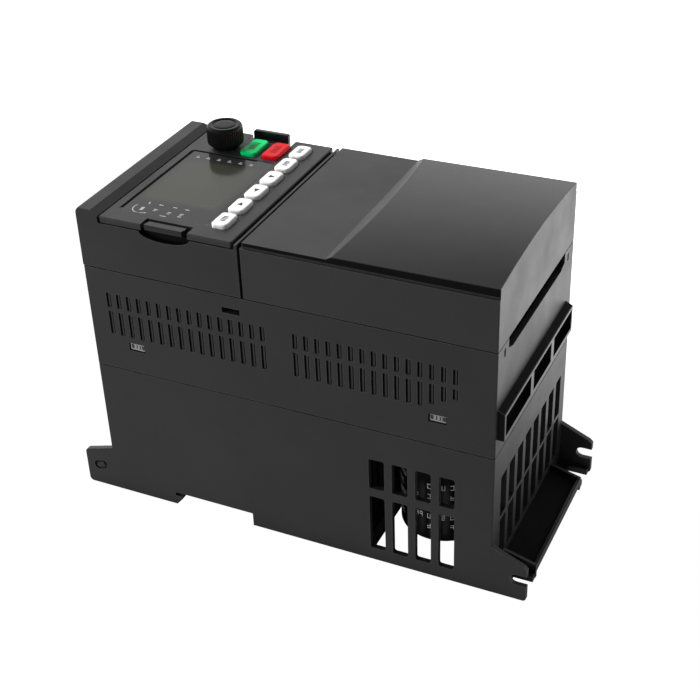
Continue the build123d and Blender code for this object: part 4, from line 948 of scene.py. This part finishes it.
def make_floor():
    """Plain pale floor under everything."""
    bm = bmesh.new()
    bmesh.ops.create_grid(bm, x_segments=2, y_segments=2, size=FLOOR_HALF)
    mesh = bpy.data.meshes.new("floor")
    bm.to_mesh(mesh)
    bm.free()
    floor = bpy.data.objects.new("floor", mesh)
    floor.location = (0, 0, -FLOOR_DROP)
    bpy.context.scene.collection.objects.link(floor)
    shader = Shader("floor")
    shader.set(Base_Color=(0.02, 0.02, 0.02, 1), Roughness=0.9, Emission_Color=(1, 1, 1, 1),
               Specular_IOR_Level=0.0)
    # The floor is white to look at, and what it sends to the drive differs from place to place
    across = shader.add("ShaderNodeVectorMath", operation="DOT_PRODUCT")
    across.inputs[1].default_value = BOUNCE_TOWARDS
    shader.link(shader.place, across.inputs[0])
    bounced = shader.ramp(across.outputs["Value"], 0.06, 0.20, BOUNCE_NEAR, BOUNCE_BEHIND)
    low, high = CAD_BOX
    under = shader.math("MULTIPLY", inside(shader, "X", low[0], high[0], 0.012),
                        inside(shader, "Y", low[1], high[1], 0.008))
    bounced = shader.math("MULTIPLY", bounced, shader.ramp(under, 0.0, 1.0, 1.0, BOUNCE_UNDER))
    rays = shader.add("ShaderNodeLightPath")
    seen = shader.math("MAXIMUM", rays.outputs["Is Camera Ray"], bounced)
    shader.link(seen, shader.bsdf.inputs["Emission Strength"])
    mesh.materials.append(shader.material)


def area_light(name, place, aim, size, power):
    """Soft square light at a place, facing a point, left out of reflections."""
    lamp = bpy.data.lights.new(name, "AREA")
    lamp.shape = "RECTANGLE"
    lamp.size = lamp.size_y = size
    lamp.energy = power
    light = bpy.data.objects.new(name, lamp)
    light.location = place
    direction = Vector(aim) - Vector(place)
    light.rotation_euler = direction.to_track_quat("-Z", "Y").to_euler()
    light.visible_camera = False
    light.visible_glossy = False
    bpy.context.scene.collection.objects.link(light)


# Brightness of the world by the sine of the elevation
SKY_LOW, SKY_HIGH = (0.10, 1.0), (0.85, 0.08)
SKY_BETWEEN = ((0.40, 0.98), (0.55, 0.72))
SKY_STRENGTH = 1.1


def make_lights():
    """Key light high at the fan end, a weak fill in front, and a world bright low down at the back."""
    area_light("key_softbox", (-0.75, 0.15, 0.75), (0.0, 0.0, 0.12), 0.5, 15.0)
    area_light("front_fill", (-0.42, -0.40, 0.20), (-0.08, -0.04, 0.07), 0.3, 2.3)
    world = bpy.data.worlds.new("studio")
    bpy.context.scene.world = world
    sky = Nodes(world)
    background = sky.nodes["Background"]
    parts = sky.add("ShaderNodeSeparateXYZ")
    sky.link(sky.add("ShaderNodeTexCoord").outputs["Generated"], parts.inputs["Vector"])
    height = sky.add("ShaderNodeValToRGB")
    stops = height.color_ramp.elements
    for stop, (position, level) in zip(stops, (SKY_LOW, SKY_HIGH)):
        stop.position, stop.color = position, (level, level, level, 1)
    for position, level in SKY_BETWEEN:
        stops.new(position).color = (level, level, level, 1)
    sky.link(parts.outputs["Z"], height.inputs["Fac"])
    # Darker towards the near side and towards the cable end
    back = sky.ramp(parts.outputs["Y"], -0.6, 0.4, 0.30, 1.0)
    right = sky.ramp(parts.outputs["X"], 0.25, 0.85, 1.0, 0.35)
    both = sky.add("ShaderNodeMix", data_type="RGBA", blend_type="MULTIPLY")
    both.inputs["Factor"].default_value = 1.0
    sky.link(height.outputs["Color"], both.inputs[6])
    sky.link(sky.math("MULTIPLY", back, right), both.inputs[7])
    # Plain white backdrop above the floor; it doesn't change the light on the object
    seen = sky.add("ShaderNodeLightPath").outputs["Is Camera Ray"]
    sky.link(sky.mix(seen, both.outputs[2], (1.0, 1.0, 1.0)), background.inputs["Color"])
    background.inputs["Strength"].default_value = SKY_STRENGTH


VIEW_AZIMUTH = 25.755        # degrees round from -Y towards +X
VIEW_ELEVATION = 32.884
VIEW_ROLL = -2.097
VIEW_DISTANCE = 0.5393       # metres from the camera to the target
VIEW_TARGET = Vector((0.00675, 0.0, 0.0633))
SENSOR = 36.0                # millimetres
LENS = 71.26


def make_camera():
    """Camera where the photo was taken from, found by fitting the outline."""
    azimuth, elevation = math.radians(VIEW_AZIMUTH), math.radians(VIEW_ELEVATION)
    back = Vector((math.sin(azimuth) * math.cos(elevation),
                   -math.cos(azimuth) * math.cos(elevation), math.sin(elevation)))
    data = bpy.data.cameras.new("camera")
    data.lens = LENS
    data.sensor_width = SENSOR
    data.clip_start = 0.01
    camera = bpy.data.objects.new("camera", data)
    camera.rotation_mode = "QUATERNION"
    level = (-back).to_track_quat("-Z", "Y")
    roll = Matrix.Rotation(math.radians(VIEW_ROLL), 3, "Z").to_quaternion()
    camera.rotation_quaternion = level @ roll
    camera.location = VIEW_TARGET + back * VIEW_DISTANCE
    bpy.context.scene.collection.objects.link(camera)
    bpy.context.scene.camera = camera


make_floor()
make_lights()
make_camera()
bpy.context.scene.view_settings.view_transform = "Standard"
